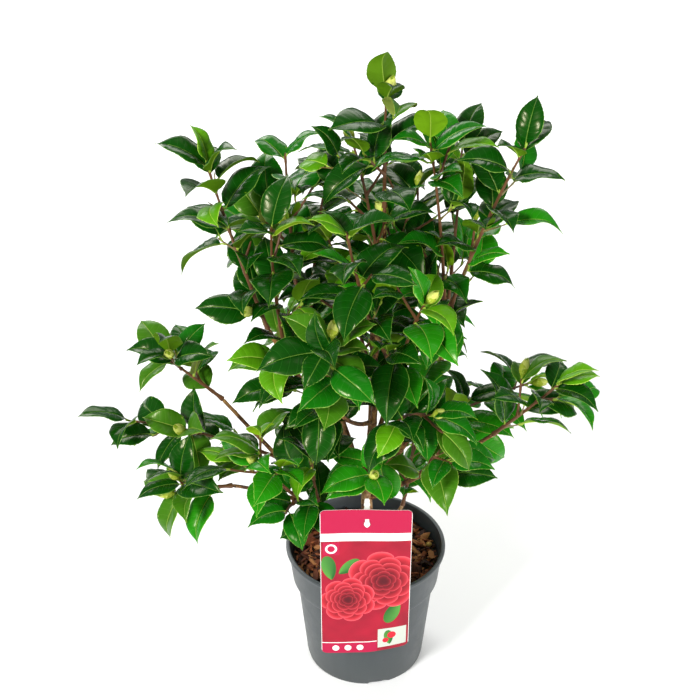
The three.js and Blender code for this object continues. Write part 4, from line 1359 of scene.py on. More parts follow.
class WoodyLimbs(Dressing):
    """The trunk, the lesser stems and the boughs, with their bark's relief, leaf scars and swollen forks."""

    STEM_SIDES = 28
    BOUGH_SIDES = 16
    RING_STEP = 2.0
    SCAR_STEP = 21.0
    COLLAR_SHARE = 0.3
    COLLAR_LENGTH = 7.0

    def add_limb(self, buffer: MeshBuffer, limb: Limb, sides: int, seed: float) -> None:
        """Adds one limb's shell, with its map of mm round and along it.

        Args:
            buffer: the piece that it joins.
            limb: the limb.
            sides: vertices round it.
            seed: what sets this limb's relief apart from the others'.
        """
        count = round(limb.length / self.RING_STEP)
        shares = np.linspace(0.0, 1.0, count + 1)
        path = np.array([limb.route.point(t) for t in shares])
        lengths = shares * limb.length
        for i, distance in enumerate(lengths):
            # Three plain noises, because Blender's noise vector differs from run to run.
            wander = [noise.noise(Vector((distance / 34, seed, 3.1 + 7.3 * axis))) for axis in range(3)]
            path[i] += np.array(wander) * 0.9 * min(1.0, distance / 12) * limb.radius(shares[i]) / 4
        turns = turns_round(sides)
        radii = np.empty((count + 1, sides))
        for i, distance in enumerate(lengths):
            mean = limb.radius(shares[i])
            if limb.row.parent:
                mean *= 1 + self.COLLAR_SHARE * math.exp(-distance / self.COLLAR_LENGTH)
            scar_turn = math.floor(distance / self.SCAR_STEP) * TURN_PER_LEAF
            scar_place = (distance / self.SCAR_STEP) % 1.0 - 0.5
            for j, turn in enumerate(turns):
                x, y = math.cos(turn), math.sin(turn)
                fibre = noise.noise(Vector((x * 2.6, y * 2.6, distance / 16 + seed)))
                crack = noise.noise(Vector((x * 5.5, y * 5.5, distance / 7 + seed)))
                facing = max(0.0, math.cos(turn - scar_turn)) ** 6
                scar = facing * math.exp(-((scar_place * self.SCAR_STEP / 1.7) ** 2))
                radii[i, j] = mean * (1 + 0.1 * fibre + 0.05 * crack) + 0.55 * scar
        radii[-1] *= 0.6
        around = np.tile(np.minimum(turns, math.tau - turns) * limb.radius(0.5) / 100, count + 1)
        along = np.repeat((lengths + seed * 37) / 100, sides)
        buffer.add(tube(path, radii, sides), 0, np.stack([around, along], axis=1))

    def build(self) -> None:
        """Makes the stems' piece and the boughs' piece."""
        stems, boughs = MeshBuffer(), MeshBuffer()
        for number, limb in enumerate(self.plant.limbs.values()):
            if limb.row.parent:
                self.add_limb(boughs, limb, self.BOUGH_SIDES, number * 1.7)
            else:
                self.add_limb(stems, limb, self.STEM_SIDES, number * 1.7)
        # The second colour of each bark, its furrow brown, is partly painted shade in the cracks.
        old_bark = FurrowedBark("camellia_trunk_bark", "#8C6036", "#38200F", "#B8946A", 1.6, 0.5)
        young_bark = FurrowedBark("camellia_bough_bark", "#744A26", "#2E1A0C", "#A0783F", 1.3, 0.35)
        stem_piece = stems.build("stems_bark", [old_bark.build()], crease=80)
        bough_piece = boughs.build("boughs_bark", [young_bark.build()], crease=80)
        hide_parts(*(row.name for row in LIMBS if not row.parent))
        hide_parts(*(row.name for row in LIMBS if row.parent))


# The pot and what is in it.
@dataclass(frozen=True)
class MouldedPolypropylene:
    """Recycled polypropylene, injection moulded: satin slate grey with faint flow, dust and rub marks."""

    name: str
    colour: str
    rubbed: str
    dusty: str

    def build(self, height: float) -> Material:
        """Makes the material; the height is the pot's in metres, and dust lies on its lower part."""
        material, shader = new_surface(self.name, {"IOR": 1.49, "Specular IOR Level": 0.5})
        tree = material.node_tree
        place = add_node(tree, "TexCoord", {}).outputs["Object"]
        level = add_node(tree, "SeparateXYZ", {"Vector": place}).outputs["Z"]
        # Flow marks run up the wall about 9 mm apart, and the moulded grain shows at about 1.4 mm.
        upright = add_node(tree, "Mapping", {"Vector": place, "Scale": (1.0, 1.0, 0.12)})
        flow, grain, rubs = (
            add_node(tree, "TexNoise", {"Vector": source, "Scale": 1 / size, **more})
            for source, size, more in (
                (upright, 0.009, {"Detail": 2.0}),
                (place, 0.0014, {"Detail": 1.0}),
                (place, 0.018, {"Detail": 6.0, "Roughness": 0.7, "Distortion": 0.4}),
            )
        )
        flowed, rubbed, near_floor, roughness = (
            add_node(tree, "MapRange", {"Value": source, **reach})
            for source, reach in (
                (flow, {"From Min": 0.3, "From Max": 0.7, "To Max": 0.2}),
                (rubs, {"From Min": 0.56, "From Max": 0.74, "To Max": 0.4}),
                (level, {"From Max": height * 0.4, "To Min": 0.3, "To Max": 0.0}),
                (rubs, {"From Min": 0.3, "From Max": 0.7, "To Min": 0.36, "To Max": 0.5}),
            )
        )
        dusted = add_node(tree, "Math", {"operation": "MULTIPLY", 0: near_floor, 1: rubs})
        layers = (flowed, self.rubbed), (rubbed, self.rubbed), (dusted, self.dusty)
        relief = {"Strength": 0.35, "Distance": 0.0002, "Height": grain}
        tree.links.new(lay_over(tree, self.colour, *layers), shader.inputs["Base Color"])
        tree.links.new(roughness.outputs[0], shader.inputs["Roughness"])
        tree.links.new(add_node(tree, "Bump", relief).outputs[0], shader.inputs["Normal"])
        return material


@dataclass
class NurseryPot:
    """The pot: a tapering body, a deep collar over a step, a rolled lip, and notches in the foot."""

    height: float = field(default_factory=lambda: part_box("pot")[1][2] / MM)
    rim_radius: float = field(default_factory=lambda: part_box("pot")[1][0] / MM)
    lip_depth: float = 5.0
    collar_radius: float = 92.0
    collar_foot_radius: float = 87.6
    collar_foot_height: float = 118.0
    step: float = 5.2
    base_radius: float = 71.5
    wall: float = 2.4
    floor: float = 4.0
    notch_count: int = 4
    notch_width: float = 24.0
    notch_height: float = 3.0
    notch_turn: float = math.radians(-78)
    sides: int = 168

    def body_radius(self, level: float) -> float:
        """Returns the outer radius of the body below the collar."""
        top = self.collar_foot_radius - self.step
        return lerp(self.base_radius, top, level / (self.collar_foot_height - 3))

    def inner_radius(self, level: float) -> float:
        """Returns the inner radius at a level in the collar."""
        share = (level - self.collar_foot_height) / (self.height - self.lip_depth - self.collar_foot_height)
        return lerp(self.collar_foot_radius, self.collar_radius, share) - self.wall

    def outline(self) -> np.ndarray:
        """Returns the half section, from the middle of the underside round to the middle of the floor."""
        foot, top, rim = self.collar_foot_height, self.height, self.rim_radius
        lip = top - self.lip_depth
        base, body_top, inside = self.base_radius, self.collar_foot_radius - self.step, self.floor
        return np.array([
            # Underside, foot and body.
            (0.0, 1.6), (base - 11, 1.6), (base - 9.5, 0.0), (base - 1.6, 0.0), (base - 0.4, 0.5),
            (base, 1.8),
            *((self.body_radius(level), level) for level in np.linspace(5, foot - 5, 12)),
            # Step and collar.
            (body_top + 0.1, foot - 1.6), (body_top + 4.0, foot - 0.9), (body_top + 4.9, foot - 0.3),
            (self.collar_foot_radius, foot + 0.5),
            *(
                (lerp(self.collar_foot_radius, self.collar_radius, share), lerp(foot, lip, share))
                for share in np.linspace(0.12, 0.96, 8)
            ),
            # Rolled lip.
            (self.collar_radius + 0.3, lip - 0.3), (rim - 0.7, lip + 0.3), (rim, lip + 1.2),
            (rim, top - 1.6), (rim - 0.5, top - 0.5), (rim - 1.6, top), (rim - 3.4, top),
            (rim - 4.4, top - 0.6), (rim - 4.8, top - 1.8),
            # Inside, down to the floor.
            *((self.inner_radius(level), level) for level in np.linspace(lip - 1, foot + 2, 8)),
            (body_top - self.wall, foot - 4), (base - self.wall, inside), (0.0, inside),
        ])

    def build(self) -> None:
        """Makes the pot's mesh by turning the section round, with the foot cut away at each notch."""
        outline = self.outline()
        turns = turns_round(self.sides)
        half_notch = self.notch_width / 2 / self.base_radius
        offsets = turns - self.notch_turn
        spacing = math.tau / self.notch_count
        nearest = np.abs((offsets + spacing / 2) % spacing - spacing / 2)
        lift = self.notch_height * (1 - smooth_step(half_notch * 0.9, half_notch * 1.06, nearest))
        points = [np.array([[0.0, 0.0, outline[0, 1]]])]
        for radius, level in outline[1:-1]:
            oval = 1 + 0.0022 * np.cos(2 * turns + 0.6) * (level / self.height)
            in_notch = level < self.notch_height and radius > self.base_radius - 10
            heights = np.maximum(level, lift) if in_notch else np.full(self.sides, level)
            ring = np.stack([np.cos(turns) * radius * oval, np.sin(turns) * radius * oval, heights], axis=1)
            points.append(ring)
        points.append(np.array([[0.0, 0.0, outline[-1, 1]]]))
        rings = len(outline) - 2
        walls, _ = ring_faces(rings, self.sides)
        j = np.arange(self.sides)
        after = (j + 1) % self.sides
        last = 1 + (rings - 1) * self.sides
        bottom = np.stack([np.zeros(self.sides, int), 1 + after, 1 + j], axis=1)
        inside = np.stack([np.full(self.sides, last + self.sides), last + j, last + after], axis=1)
        buffer = MeshBuffer()
        buffer.add((np.concatenate(points), [walls + 1, np.concatenate([bottom, inside])]))
        finish = MouldedPolypropylene("recycled_polypropylene_moulded", "#343A3D", "#41484B", "#62635C")
        piece = buffer.build("nursery_pot", [finish.build(self.height * MM)], crease=38)
        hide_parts("pot")


@dataclass(frozen=True)
class ShreddedBark:
    """Composted pine bark, chipped: dull and fibrous, each chip in one of a few browns."""

    name: str
    colour: str

    def build(self) -> Material:
        """Makes the material, plain because the chips are many and joined."""
        look = {"Base Color": linear(self.colour), "Roughness": 0.82, "IOR": 1.4, "Specular IOR Level": 0.35}
        return new_surface(self.name, look)[0]


@dataclass
class PottingMix:
    """The bark mix: a rough filling with loose chips, fines and a few pale stones on it."""

    CHIP_CORNERS = 6
    STONE_SIDES = 12
    # For each stone its x, its y and its size.
    STONES = ((77, 17, 8.5), (-66, 26, 6.0), (34, 66, 6.5), (58, -40, 5.0))

    pot: NurseryPot
    limbs: dict[str, Limb]
    level: float = field(default_factory=lambda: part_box("potting_mix")[1][2] / MM)
    chip_count: int = 980
    crumb_count: int = 700
    ground_steps: int = 30
    sides: int = 96

    def ground_height(self, x: float, y: float) -> float:
        """Returns the uneven level of the filling at a place."""
        broad = noise.noise(Vector((x / 38, y / 38, 1.7)))
        fine = noise.noise(Vector((x / 9, y / 9, 5.2)))
        heap = 3.0 * math.exp(-((x * x + y * y) / 700))
        return self.level - 2.6 + broad * 2.4 + fine * 1.6 + heap

    def filling(self) -> Shell:
        """Returns the filling's shell: an uneven top, and sides a gap clear of the pot's wall."""
        pot, inset = self.pot, GAP + 0.4
        turns = turns_round(self.sides)
        top_radius = pot.inner_radius(self.level - 3) - inset
        foot = pot.collar_foot_height
        section = (
            (pot.base_radius - pot.wall - inset - 1, pot.floor + GAP),
            (pot.collar_foot_radius - pot.step - pot.wall - inset - 0.6, foot - 4.5),
            (pot.inner_radius(foot) - inset - 0.4, foot + 3),
        )
        rings = [
            np.stack([np.cos(turns) * radius, np.sin(turns) * radius, np.full(self.sides, level)], axis=1)
            for radius, level in section
        ]
        for i in range(self.ground_steps):
            radius = top_radius * (1 - i / self.ground_steps)
            places = [(math.cos(turn) * radius, math.sin(turn) * radius) for turn in turns]
            rings.append(np.array([[x, y, self.ground_height(x, y)] for x, y in places]))
        return np.concatenate(rings), ring_faces(len(rings), self.sides)

    def chip(self, draws: Draws, size: float) -> Shell:
        """Returns one flake's shell at the origin: long, uneven in outline and rough on top."""
        corners = self.CHIP_CORNERS
        length = size * draws.between(0.8, 1.3)
        width = length * draws.between(0.16, 0.48)
        depth = length * draws.between(0.07, 0.17)
        turns = turns_round(corners)
        radial = np.array([draws.between(0.66, 1.2) for _ in turns])
        x = np.cos(turns) * radial * length / 2
        y = np.sin(turns) * radial * width / 2
        rings = []
        for share, level in ((0.88, 0.5), (1.0, 0.3), (0.97, -0.3), (0.82, -0.5)):
            rise = np.array([draws.between(-0.22, 0.22) for _ in turns])
            rings.append(np.stack([x * share, y * share, depth * (level + rise)], axis=1))
        return np.concatenate(rings), ring_faces(4, corners)

    def is_open(self, x: float, y: float, margin: float) -> bool:
        """Tells whether a place is clear of the stems' feet and of the label's stake."""
        for limb in self.limbs.values():
            foot = limb.row.foot
            if foot and math.hypot(x - foot[0], y - foot[1]) < limb.radius(0.0) + margin:
                return False
        return not (abs(x) < 5 and abs(y - STAKE_BACK_Y) < 4)

    def scatter(
        self, buffer: MeshBuffer, draws: Draws, count: int, sizes: Pair, slots: int, lift: float
    ) -> None:
        """Scatters chips of one grade over the filling.

        Args:
            buffer: the piece that they join.
            draws: the stream that places them.
            count: how many are tried.
            sizes: the least and greatest length.
            slots: how many browns they are dealt.
            lift: how far above the filling the highest lie.
        """
        edge = self.pot.inner_radius(self.level) - 1.2
        for _ in range(count):
            size = lerp(sizes[0], sizes[1], draws.next() ** 1.6)
            radius = edge * math.sqrt(draws.next())
            turn = draws.between(0, math.tau)
            x, y = math.cos(turn) * radius, math.sin(turn) * radius
            spin, pitch, roll = draws.between(0, 6.28), draws.between(-0.55, 0.55), draws.between(-0.5, 0.5)
            rise, slot = draws.between(0, lift), math.floor(draws.next() * slots)
            points, faces = self.chip(draws, size)
            level = math.cos(pitch)
            forward = np.array([math.cos(spin) * level, math.sin(spin) * level, math.sin(pitch)])
            across, over = across_and_over(forward)
            across = across * math.cos(roll) + over * math.sin(roll)
            over = np.cross(across, forward)
            placed = points @ np.stack([forward, across, over])
            placed = placed + np.array([x, y, self.ground_height(x, y) + 0.8 + rise])
            reach = np.hypot(placed[:, 0], placed[:, 1]).max()
            if reach < edge and self.is_open(x, y, 1.0) and placed[:, 2].max() < self.pot.height - 6:
                buffer.add((placed, faces), slot)

    def stones(self) -> MeshBuffer:
        """Returns the few pale stones that lie among the chips."""
        buffer = MeshBuffer()
        draws = Draws(311)
        for x, y, size in self.STONES:
            shares = np.linspace(0.02, 0.98, 8)
            path = np.array([[x, y, self.ground_height(x, y) + 1.5 + (s - 0.3) * size * 0.7] for s in shares])
            radii = np.sin(math.pi * shares)[:, None] ** 0.7 * size * 0.5
            uneven = np.array([[draws.between(0.9, 1.06) for _ in range(self.STONE_SIDES)] for _ in shares])
            buffer.add(tube(path, radii * uneven, self.STONE_SIDES))
        return buffer

    def build(self) -> None:
        """Makes the filling, the loose chips and the stones."""
        filling = MeshBuffer()
        filling.add(self.filling())
        browns = [ShreddedBark(f"pine_bark_{shade}", colour).build() for shade, colour in (
            ("fox_brown", "#7E4423"), ("red_brown", "#5A2C15"), ("dark", "#2C160D"),
            ("tan", "#94623A"), ("umber", "#422214"),
        )]
        # The filling shows only in the gaps between the chips; its near-black brown is partly the fines' own
        # colour and partly painted shade in those gaps.
        fines_with_gap_shade = ShreddedBark("peat_fines", "#24150C").build()
        loose = MeshBuffer()
        self.scatter(loose, Draws(8821), self.crumb_count, (2.5, 5.5), 3, 1.5)
        self.scatter(loose, Draws(1993), self.chip_count, (8.0, 25.0), 5, 5.0)
        ground_piece = filling.build("potting_mix_ground", [fines_with_gap_shade], crease=60)
        chip_piece = loose.build("bark_chips", browns, crease=35)
        stone_finish = ShreddedBark("pale_grit_stone", "#C9A25F").build()
        stone_piece = self.stones().build("grit_stones", [stone_finish], crease=60)
        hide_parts("potting_mix")


# The care label and its stake.
@dataclass
class InkPress:
    """Prints one flat ink over another; places are x and z in mm from the card's centre."""

    # How far out each whorl of a blossom reaches, and how many petals it has.
    WHORLS = ((1.0, 7), (0.82, 7), (0.65, 6), (0.49, 5), (0.34, 5), (0.2, 3))

    tree: Tree
    x: Socket
    z: Socket
    colour: Socket

    def work_out(self, value: Socket, *steps: tuple) -> Socket:
        """Runs a value through steps, each an operation and its further terms."""
        for operation, *terms in steps:
            links = dict(enumerate((value, *terms)))
            value = add_node(self.tree, "Math", {"operation": operation, **links}).outputs[0]
        return value

    def lay(self, share: Socket, ink: str | Socket) -> None:
        """Prints an ink where the share is 1."""
        self.colour = lay_over(self.tree, self.colour, (share, ink))

    def box(self, left: float, low: float, right: float, high: float, ink: str) -> None:
        """Prints a box."""
        inside = self.work_out(self.x, ("GREATER_THAN", left))
        for axis, operation, edge in (
            (self.x, "LESS_THAN", right), (self.z, "GREATER_THAN", low), (self.z, "LESS_THAN", high),
        ):
            inside = self.work_out(inside, ("MULTIPLY", self.work_out(axis, (operation, edge))))
        self.lay(inside, ink)

    def polar(self, centre: Pair) -> tuple[Socket, Socket]:
        """Returns the distance from a motif's centre and the angle round it."""
        u = self.work_out(self.x, ("SUBTRACT", float(centre[0])))
        v = self.work_out(self.z, ("SUBTRACT", float(centre[1])))
        square = self.work_out(v, ("MULTIPLY", v))
        return self.work_out(u, ("MULTIPLY_ADD", u, square), ("SQRT",)), self.work_out(v, ("ARCTAN2", u))

    def disc(self, centre: Pair, radius: float, ink: str) -> None:
        """Prints a disc."""
        self.lay(self.work_out(self.polar(centre)[0], ("LESS_THAN", radius)), ink)

    def leaf(self, centre: Pair, length: float, turn: float, inks: tuple[str, str]) -> None:
        """Prints a plain leaf, shaded towards one side, from its root at the centre."""
        distance, angle = self.polar(centre)
        turned = self.work_out(angle, ("SUBTRACT", turn))
        edge = self.work_out(turned, ("COSINE",), ("MAXIMUM", 0.0), ("POWER", 6.0), ("MULTIPLY", length))
        lit = self.work_out(turned, ("SINE",), ("MULTIPLY_ADD", 1.2, 0.5), ("MAXIMUM", 0.0), ("MINIMUM", 1.0))
        ink = lay_over(self.tree, inks[0], (lit, inks[1]))
        self.lay(self.work_out(distance, ("LESS_THAN", edge)), ink)

    def rosette(self, centre: Pair, radius: float, turn: float, inks: Sequence[str]) -> None:
        """Prints a full blossom: whorls of round petals one within another, darker towards the heart.

        Args:
            centre: its heart.
            radius: its outermost petals' reach.
            turn: how far it is turned.
            inks: the petals' pale edge, their flat, and the shade in the heart.
        """
        distance, angle = self.polar(centre)
        for whorl, (share, petals) in enumerate(self.WHORLS):
            size = radius * share
            turned = self.work_out(angle, ("MULTIPLY_ADD", petals / 2, turn + whorl * 1.3))
            lobe = self.work_out(turned, ("COSINE",), ("ABSOLUTE",), ("POWER", 0.5))
            edge = self.work_out(lobe, ("MULTIPLY_ADD", size * 0.2, size * 0.8))
            near_edge = self.work_out(distance, ("DIVIDE", edge))
            depth = self.work_out(near_edge, ("POWER", 4.0), ("MINIMUM", 1.0))
            flat = self.work_out(depth, ("MULTIPLY", 1 - 0.13 * whorl))
            rim = self.work_out(near_edge, ("POWER", 22.0), ("MULTIPLY", 0.55 - 0.07 * whorl))
            ink = lay_over(self.tree, inks[2], (flat, inks[1]), (rim, inks[0]))
            self.lay(self.work_out(distance, ("LESS_THAN", edge)), ink)


@dataclass(frozen=True)
class PrintedCard:
    """Polypropylene card, offset printed and varnished: flat bright inks under an even gloss."""

    # For each leaf of the ground its x, its z, its length and its turn.
    LEAVES = ((-38, 6, 34, 1.75), (-30, 14, 30, 0.7), (38, -30, 34, 4.3), (40, -8, 30, 3.6))

    name: str
    crimson: str = "#A60E3C"
    petals: tuple[str, str, str] = ("#E8707A", "#CC1F30", "#4E0714")
    leaf: tuple[str, str] = ("#1F5A22", "#4C8A36")
    ground: tuple[str, str] = ("#7C0C22", "#A8122E")
    paper: str = "#DDDBD6"
    mist: str = "#B9BDB2"

    def build(self, centre: Pair, size: Pair) -> Material:
        """Makes the face of a card with this centre and size in mm: bands, blossoms, an inset and spots."""
        material, shader = new_surface(self.name, {
            "Roughness": 0.36, "IOR": 1.49, "Specular IOR Level": 0.25,
        })
        tree = material.node_tree
        place = add_node(tree, "TexCoord", {}).outputs["Object"]
        millimetres = add_node(tree, "VectorMath", {"operation": "SCALE", 0: place, "Scale": 1000.0})
        middle = (centre[0], 0.0, centre[1])
        spot = add_node(tree, "VectorMath", {"operation": "SUBTRACT", 0: millimetres, 1: middle})
        axes = add_node(tree, "SeparateXYZ", {"Vector": spot}).outputs
        blur = add_node(tree, "TexNoise", {"Vector": spot, "Scale": 0.05, "Detail": 1.0})
        right, top = size[0] / 2, size[1] / 2
        ground = lay_over(tree, self.ground[0], (blur, self.ground[1]))
        press = InkPress(tree, axes["X"], axes["Z"], ground)
        for *root, length, turn in self.LEAVES:
            press.leaf(root, length, turn, self.leaf)
        press.rosette((20, 2), 43, 0.4, self.petals)
        press.rosette((-20, -24), 32, 1.5, self.petals)
        # The pale inset with its sprig, right of the footer.
        press.box(right - 36, 5 - top, right - 3, 33 - top, self.mist)
        press.leaf((right - 22, 8 - top), 22, 1.7, self.leaf)
        press.disc((right - 20, 22 - top), 5.0, self.petals[1])
        press.disc((right - 27, 15 - top), 3.6, self.petals[1])
        press.box(-right, top - 32, right, top, self.crimson)
        press.box(-right, top - 43, right, top - 32, self.paper)
        press.box(-right, -top, right - 37, 15 - top, self.crimson)
        press.box(-right, 15 - top, right - 37, 16.2 - top, self.paper)
        press.box(3 - right, top - 62, 21 - right, top - 45, self.crimson)
        press.disc((12 - right, top - 53.5), 6.6, self.paper)
        press.disc((12 - right, top - 53.5), 4.2, self.crimson)
        for across in (-34, -20, -6):
            press.disc((across, 7.5 - top), 4.0, self.paper)
            press.disc((across, 7.5 - top), 1.8, self.mist)
        for edge in (-right, right - 0.6):
            press.box(edge, -top, edge + 0.6, top, self.paper)
        tree.links.new(press.colour, shader.inputs["Base Color"])
        return material


@dataclass(frozen=True)
class WhitePolypropylene:
    """Unfilled white polypropylene, moulded thin: smooth, faintly waxy, with a soft edge light."""

    name: str
    colour: str = "#EDEDE8"

    def build(self) -> Material:
        """Makes the material, with the slight cloudiness of thin moulded plastic."""
        material, shader = new_surface(self.name, {"Roughness": 0.42, "IOR": 1.49})
        tree = material.node_tree
        place = add_node(tree, "TexCoord", {}).outputs["Object"]
        # Clouding shows at about 12 mm.
        cloud = add_node(tree, "TexNoise", {"Vector": place, "Scale": 1 / 0.012, "Detail": 2.0})
        tree.links.new(lay_over(tree, self.colour, (cloud, "#DCDCD6")), shader.inputs["Base Color"])
        return material


@dataclass
class CareLabel:
    """The label: a thin bowed card with rounded corners, printed in front and plain behind."""

    low: Point = field(default_factory=lambda: np.array(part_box("care_label")[0]) / MM)
    high: Point = field(default_factory=lambda: np.array(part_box("care_label")[1]) / MM)
    corner: float = 6.0
    thickness: float = 0.6
    columns: int = 40
    rows: int = 80
    bow: float = 1.5
    dog_ear: float = 15.0

    def inset(self, z: float) -> float:
        """Returns how far the side edge is drawn in at a level, by the rounded corners."""
        depth = self.corner - min(z - self.low[2], self.high[2] - z, self.corner)
        return self.corner - math.sqrt(max(0.0, self.corner ** 2 - depth ** 2))

    def front_y(self, x: float, z: float) -> float:
        """Returns where the bowed card's back lies; its lower right corner bends in to the pot's foot."""
        across = (x - self.low[0]) / (self.high[0] - self.low[0])
        up = (z - self.low[2]) / (self.high[2] - self.low[2])
        ripple = 0.5 + 0.5 * math.sin(math.tau * (1.3 * across + 0.25 * up))
        lean = self.bow * 1.6 * (1 - up) ** 2
        corner = self.dog_ear * max(0.0, 2 * across - 1) ** 1.5 * (1 - up) ** 1.3
        return self.high[1] - self.bow * ripple * (0.35 + 0.65 * abs(2 * across - 1)) - lean + corner

    def build(self) -> None:
        """Makes the card's closed mesh."""
        centre_x = (self.low[0] + self.high[0]) / 2
        half = (self.high[0] - self.low[0]) / 2
        ease = np.linspace(0, math.pi, self.rows + 1)
        levels = self.low[2] + (self.high[2] - self.low[2]) * (1 - np.cos(ease)) / 2
        front, back = [], []
        for z in levels:
            for x in np.linspace(-1, 1, self.columns + 1) * (half - self.inset(z)) + centre_x:
                y = self.front_y(x, z)
                front.append([x, y - self.thickness, z])
                back.append([x, y, z])
        buffer = MeshBuffer()
        printed, plain = sheet_faces(self.rows, self.columns)
        slots = np.concatenate([np.zeros(len(printed)), np.ones(len(plain))])
        buffer.add((np.array(front + back), [np.concatenate([printed, plain])]), [slots])
        size = (2 * half, self.high[2] - self.low[2])
        finishes = [
            PrintedCard("offset_printed_card").build((centre_x, (self.low[2] + self.high[2]) / 2), size),
            WhitePolypropylene("card_back_and_edges").build(),
        ]
        piece = buffer.build("care_label_card", finishes, crease=50)
        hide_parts("care_label")


@dataclass
class LabelStake:
    """The stake: a ribbed white strip with a stepped head, and a barbed tongue through the card."""

    low: Point = field(default_factory=lambda: np.array(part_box("label_stake")[0]) / MM)
    high: Point = field(default_factory=lambda: np.array(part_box("label_stake")[1]) / MM)
    tongue_level: float = 271.0
    tongue_drop: float = 10.0
    thickness: float = 1.6
    bevel: float = 0.4

    def across(self, half: float) -> list[float]:
        """Returns where the corners of a section of this half width lie, from left to right and back."""
        flat = half - self.bevel
        return [-half, -flat, flat, half, half, flat, -flat, -half]

    def strip(self) -> Shell:
        """Returns the upright strip's shell, with soft teeth down both edges and a narrow head."""
        levels = np.arange(self.low[2], self.high[2] + 0.01, 1.0)
        half, deep = (self.high[0] - self.low[0]) / 2, self.thickness
        rings = []
        for z in levels:
            from_top = self.high[2] - z
            tooth = 0.35 * math.sin(z * math.tau / 6)
            taper = 1.0 if from_top > 7 else 0.55 + 0.45 * math.sin(math.pi / 2 * max(0.0, from_top) / 7)
            width = (half - self.bevel + tooth) * taper
            depths = (0.3, 0.0, 0.0, 0.3, deep - 0.3, deep, deep, deep - 0.3)
            rings += [[x, self.high[1] - depth, z] for x, depth in zip(self.across(width), depths)]
        return np.array(rings), ring_faces(len(levels), 8)

    def tongue(self, card: CareLabel) -> Shell:
        """Returns the tongue's shell: out through the card and down over its face to a barbed end."""
        face = card.front_y(0.0, self.tongue_level) - card.thickness
        start = self.high[1] - self.thickness + 0.4
        level, end = self.tongue_level, self.tongue_level - self.tongue_drop
        path = [
            (start, level, 2.2), (face + 1.0, level, 2.2), (face - 0.9, level - 0.5, 2.3),
            (face - 1.2, level - 3, 2.3), (face - 1.1, level - 4.5, 3.2), (face - 1.0, level - 6.5, 3.3),
            (face - 0.9, end + 1.2, 2.2), (face - 0.8, end, 1.0),
        ]
        rings = []
        for i, (y, z, half) in enumerate(path):
            y_before, z_before, _ = path[max(0, i - 1)]
            y_after, z_after, _ = path[min(len(path) - 1, i + 1)]
            along = math.atan2(z_after - z_before, y_after - y_before)
            dy, dz = -math.sin(along) * 0.6, math.cos(along) * 0.6
            rises = (0.5, 1.0, 1.0, 0.5, -0.5, -1.0, -1.0, -0.5)
            rings += [[x, y + dy * rise, z + dz * rise] for x, rise in zip(self.across(half), rises)]
        return np.array(rings), ring_faces(len(path), 8)

    def build(self, card: CareLabel) -> None:
        """Makes the stake, whose tongue holds the card."""
        buffer = MeshBuffer()
        buffer.add(self.strip())
        buffer.add(self.tongue(card))
        finish = WhitePolypropylene("stake_white_polypropylene")
        piece = buffer.build("label_stake_strip", [finish.build()], crease=35)
        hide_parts("label_stake")


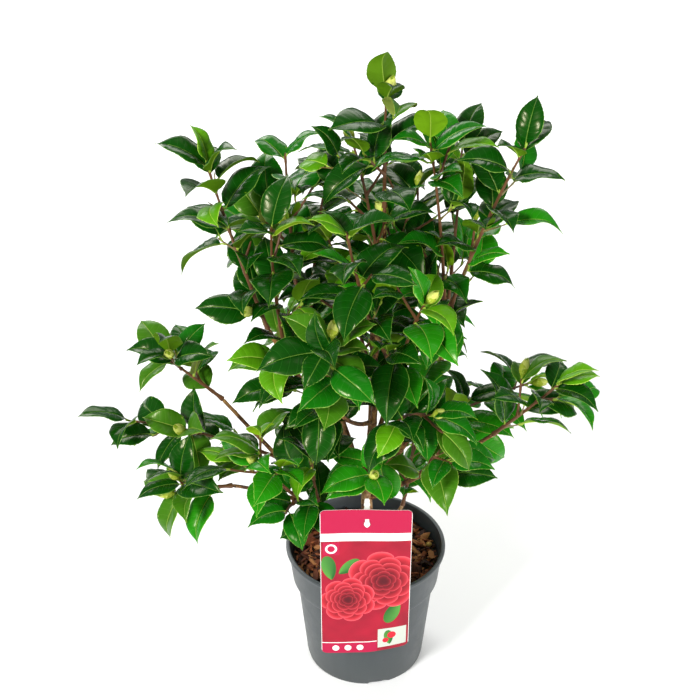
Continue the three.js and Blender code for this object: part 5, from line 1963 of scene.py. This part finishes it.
@dataclass
class Studio:
    """A pale floor, soft lights and the camera."""

    camera_place: Triple = (-0.0186, -1.208, 1.143)
    camera_tilt: float = 30.6
    picture_side: float = 700.0
    focal_pixels: float = 1286.0
    sensor: float = 36.0
    floor_colour: str = "#F4F4F3"
    sky_strength: float = 0.28

    def build(self) -> None:
        """Makes the camera, the floor and the lights."""
        scene = bpy.context.scene
        camera = bpy.data.cameras.new("camera")
        camera.lens = self.focal_pixels * self.sensor / self.picture_side
        camera.sensor_width = self.sensor
        holder = bpy.data.objects.new("camera", camera)
        holder.location = self.camera_place
        holder.rotation_euler = (math.radians(90 - self.camera_tilt), 0.0, 0.0)
        scene.collection.objects.link(holder)
        scene.camera = holder
        scene.view_settings.view_transform = "Standard"
        self.lay_floor()
        self.light_sky()
        self.hang_softboxes()

    def lay_floor(self) -> None:
        """Lays the floor, wide enough to fill the picture."""
        mesh = bpy.data.meshes.new("studio_floor")
        reach = 9.0
        corners = [(-reach, -reach, 0), (reach, -reach, 0), (reach, reach, 0), (-reach, reach, 0)]
        mesh.from_pydata(corners, [], [(0, 1, 2, 3)])
        material, _ = new_surface("studio_paper", {
            "Base Color": linear(self.floor_colour), "Roughness": 0.9, "Specular IOR Level": 0.1,
        })
        mesh.materials.append(material)
        floor = bpy.data.objects.new("studio_floor", mesh)
        floor.location.z = -0.0004
        bpy.context.scene.collection.objects.link(floor)

    def light_sky(self) -> None:
        """Gives an even white light from all round."""
        world = bpy.data.worlds.new("studio_light")
        world.use_nodes = True
        background = world.node_tree.nodes["Background"]
        background.inputs["Color"].default_value = linear("#FFFFFF")
        background.inputs["Strength"].default_value = self.sky_strength
        bpy.context.scene.world = world

    def hang_softboxes(self) -> None:
        """Hangs each softbox, in metres and watts, and turns it to what it faces."""
        crown = (0.0, 0.0, 0.42)
        for name, place, target, sides, watts in (
            ("key", (-1.3, -1.6, 1.6), crown, (0.55, 0.55), 66.0),
            ("fill", (1.5, -1.6, 0.8), crown, (0.9, 0.9), 42.0),
            ("top", (0.2, 0.3, 2.6), crown, (0.9, 0.9), 3.0),
            ("back", (-1.2, 1.6, 1.6), crown, (0.9, 0.9), 16.0),
            ("backdrop", (0.0, 2.9, 2.6), (0.0, 2.6, 0.0), (3.6, 2.2), 112.0),
        ):
            light = bpy.data.lights.new(f"{name}_softbox", "AREA")
            light.shape = "RECTANGLE"
            light.size, light.size_y = sides
            light.energy = watts
            holder = bpy.data.objects.new(f"{name}_softbox", light)
            holder.location = place
            aim = Vector(target) - Vector(place)
            holder.rotation_euler = aim.to_track_quat("-Z", "Y").to_euler()
            bpy.context.scene.collection.objects.link(holder)


def main() -> None:
    """Builds the plant from the pot up."""
    logging.basicConfig(level=logging.INFO, format="%(name)s: %(message)s")
    Studio().build()
    plant = Camellia()
    pot = NurseryPot()
    pot.build()
    PottingMix(pot, plant.limbs).build()
    label = CareLabel()
    label.build()
    LabelStake().build(label)
    WoodyLimbs(plant).build()
    Twigs(plant).build()
    FlowerBuds(plant).build()
    Foliage(plant).build()


if __name__ == "__main__":
    main()
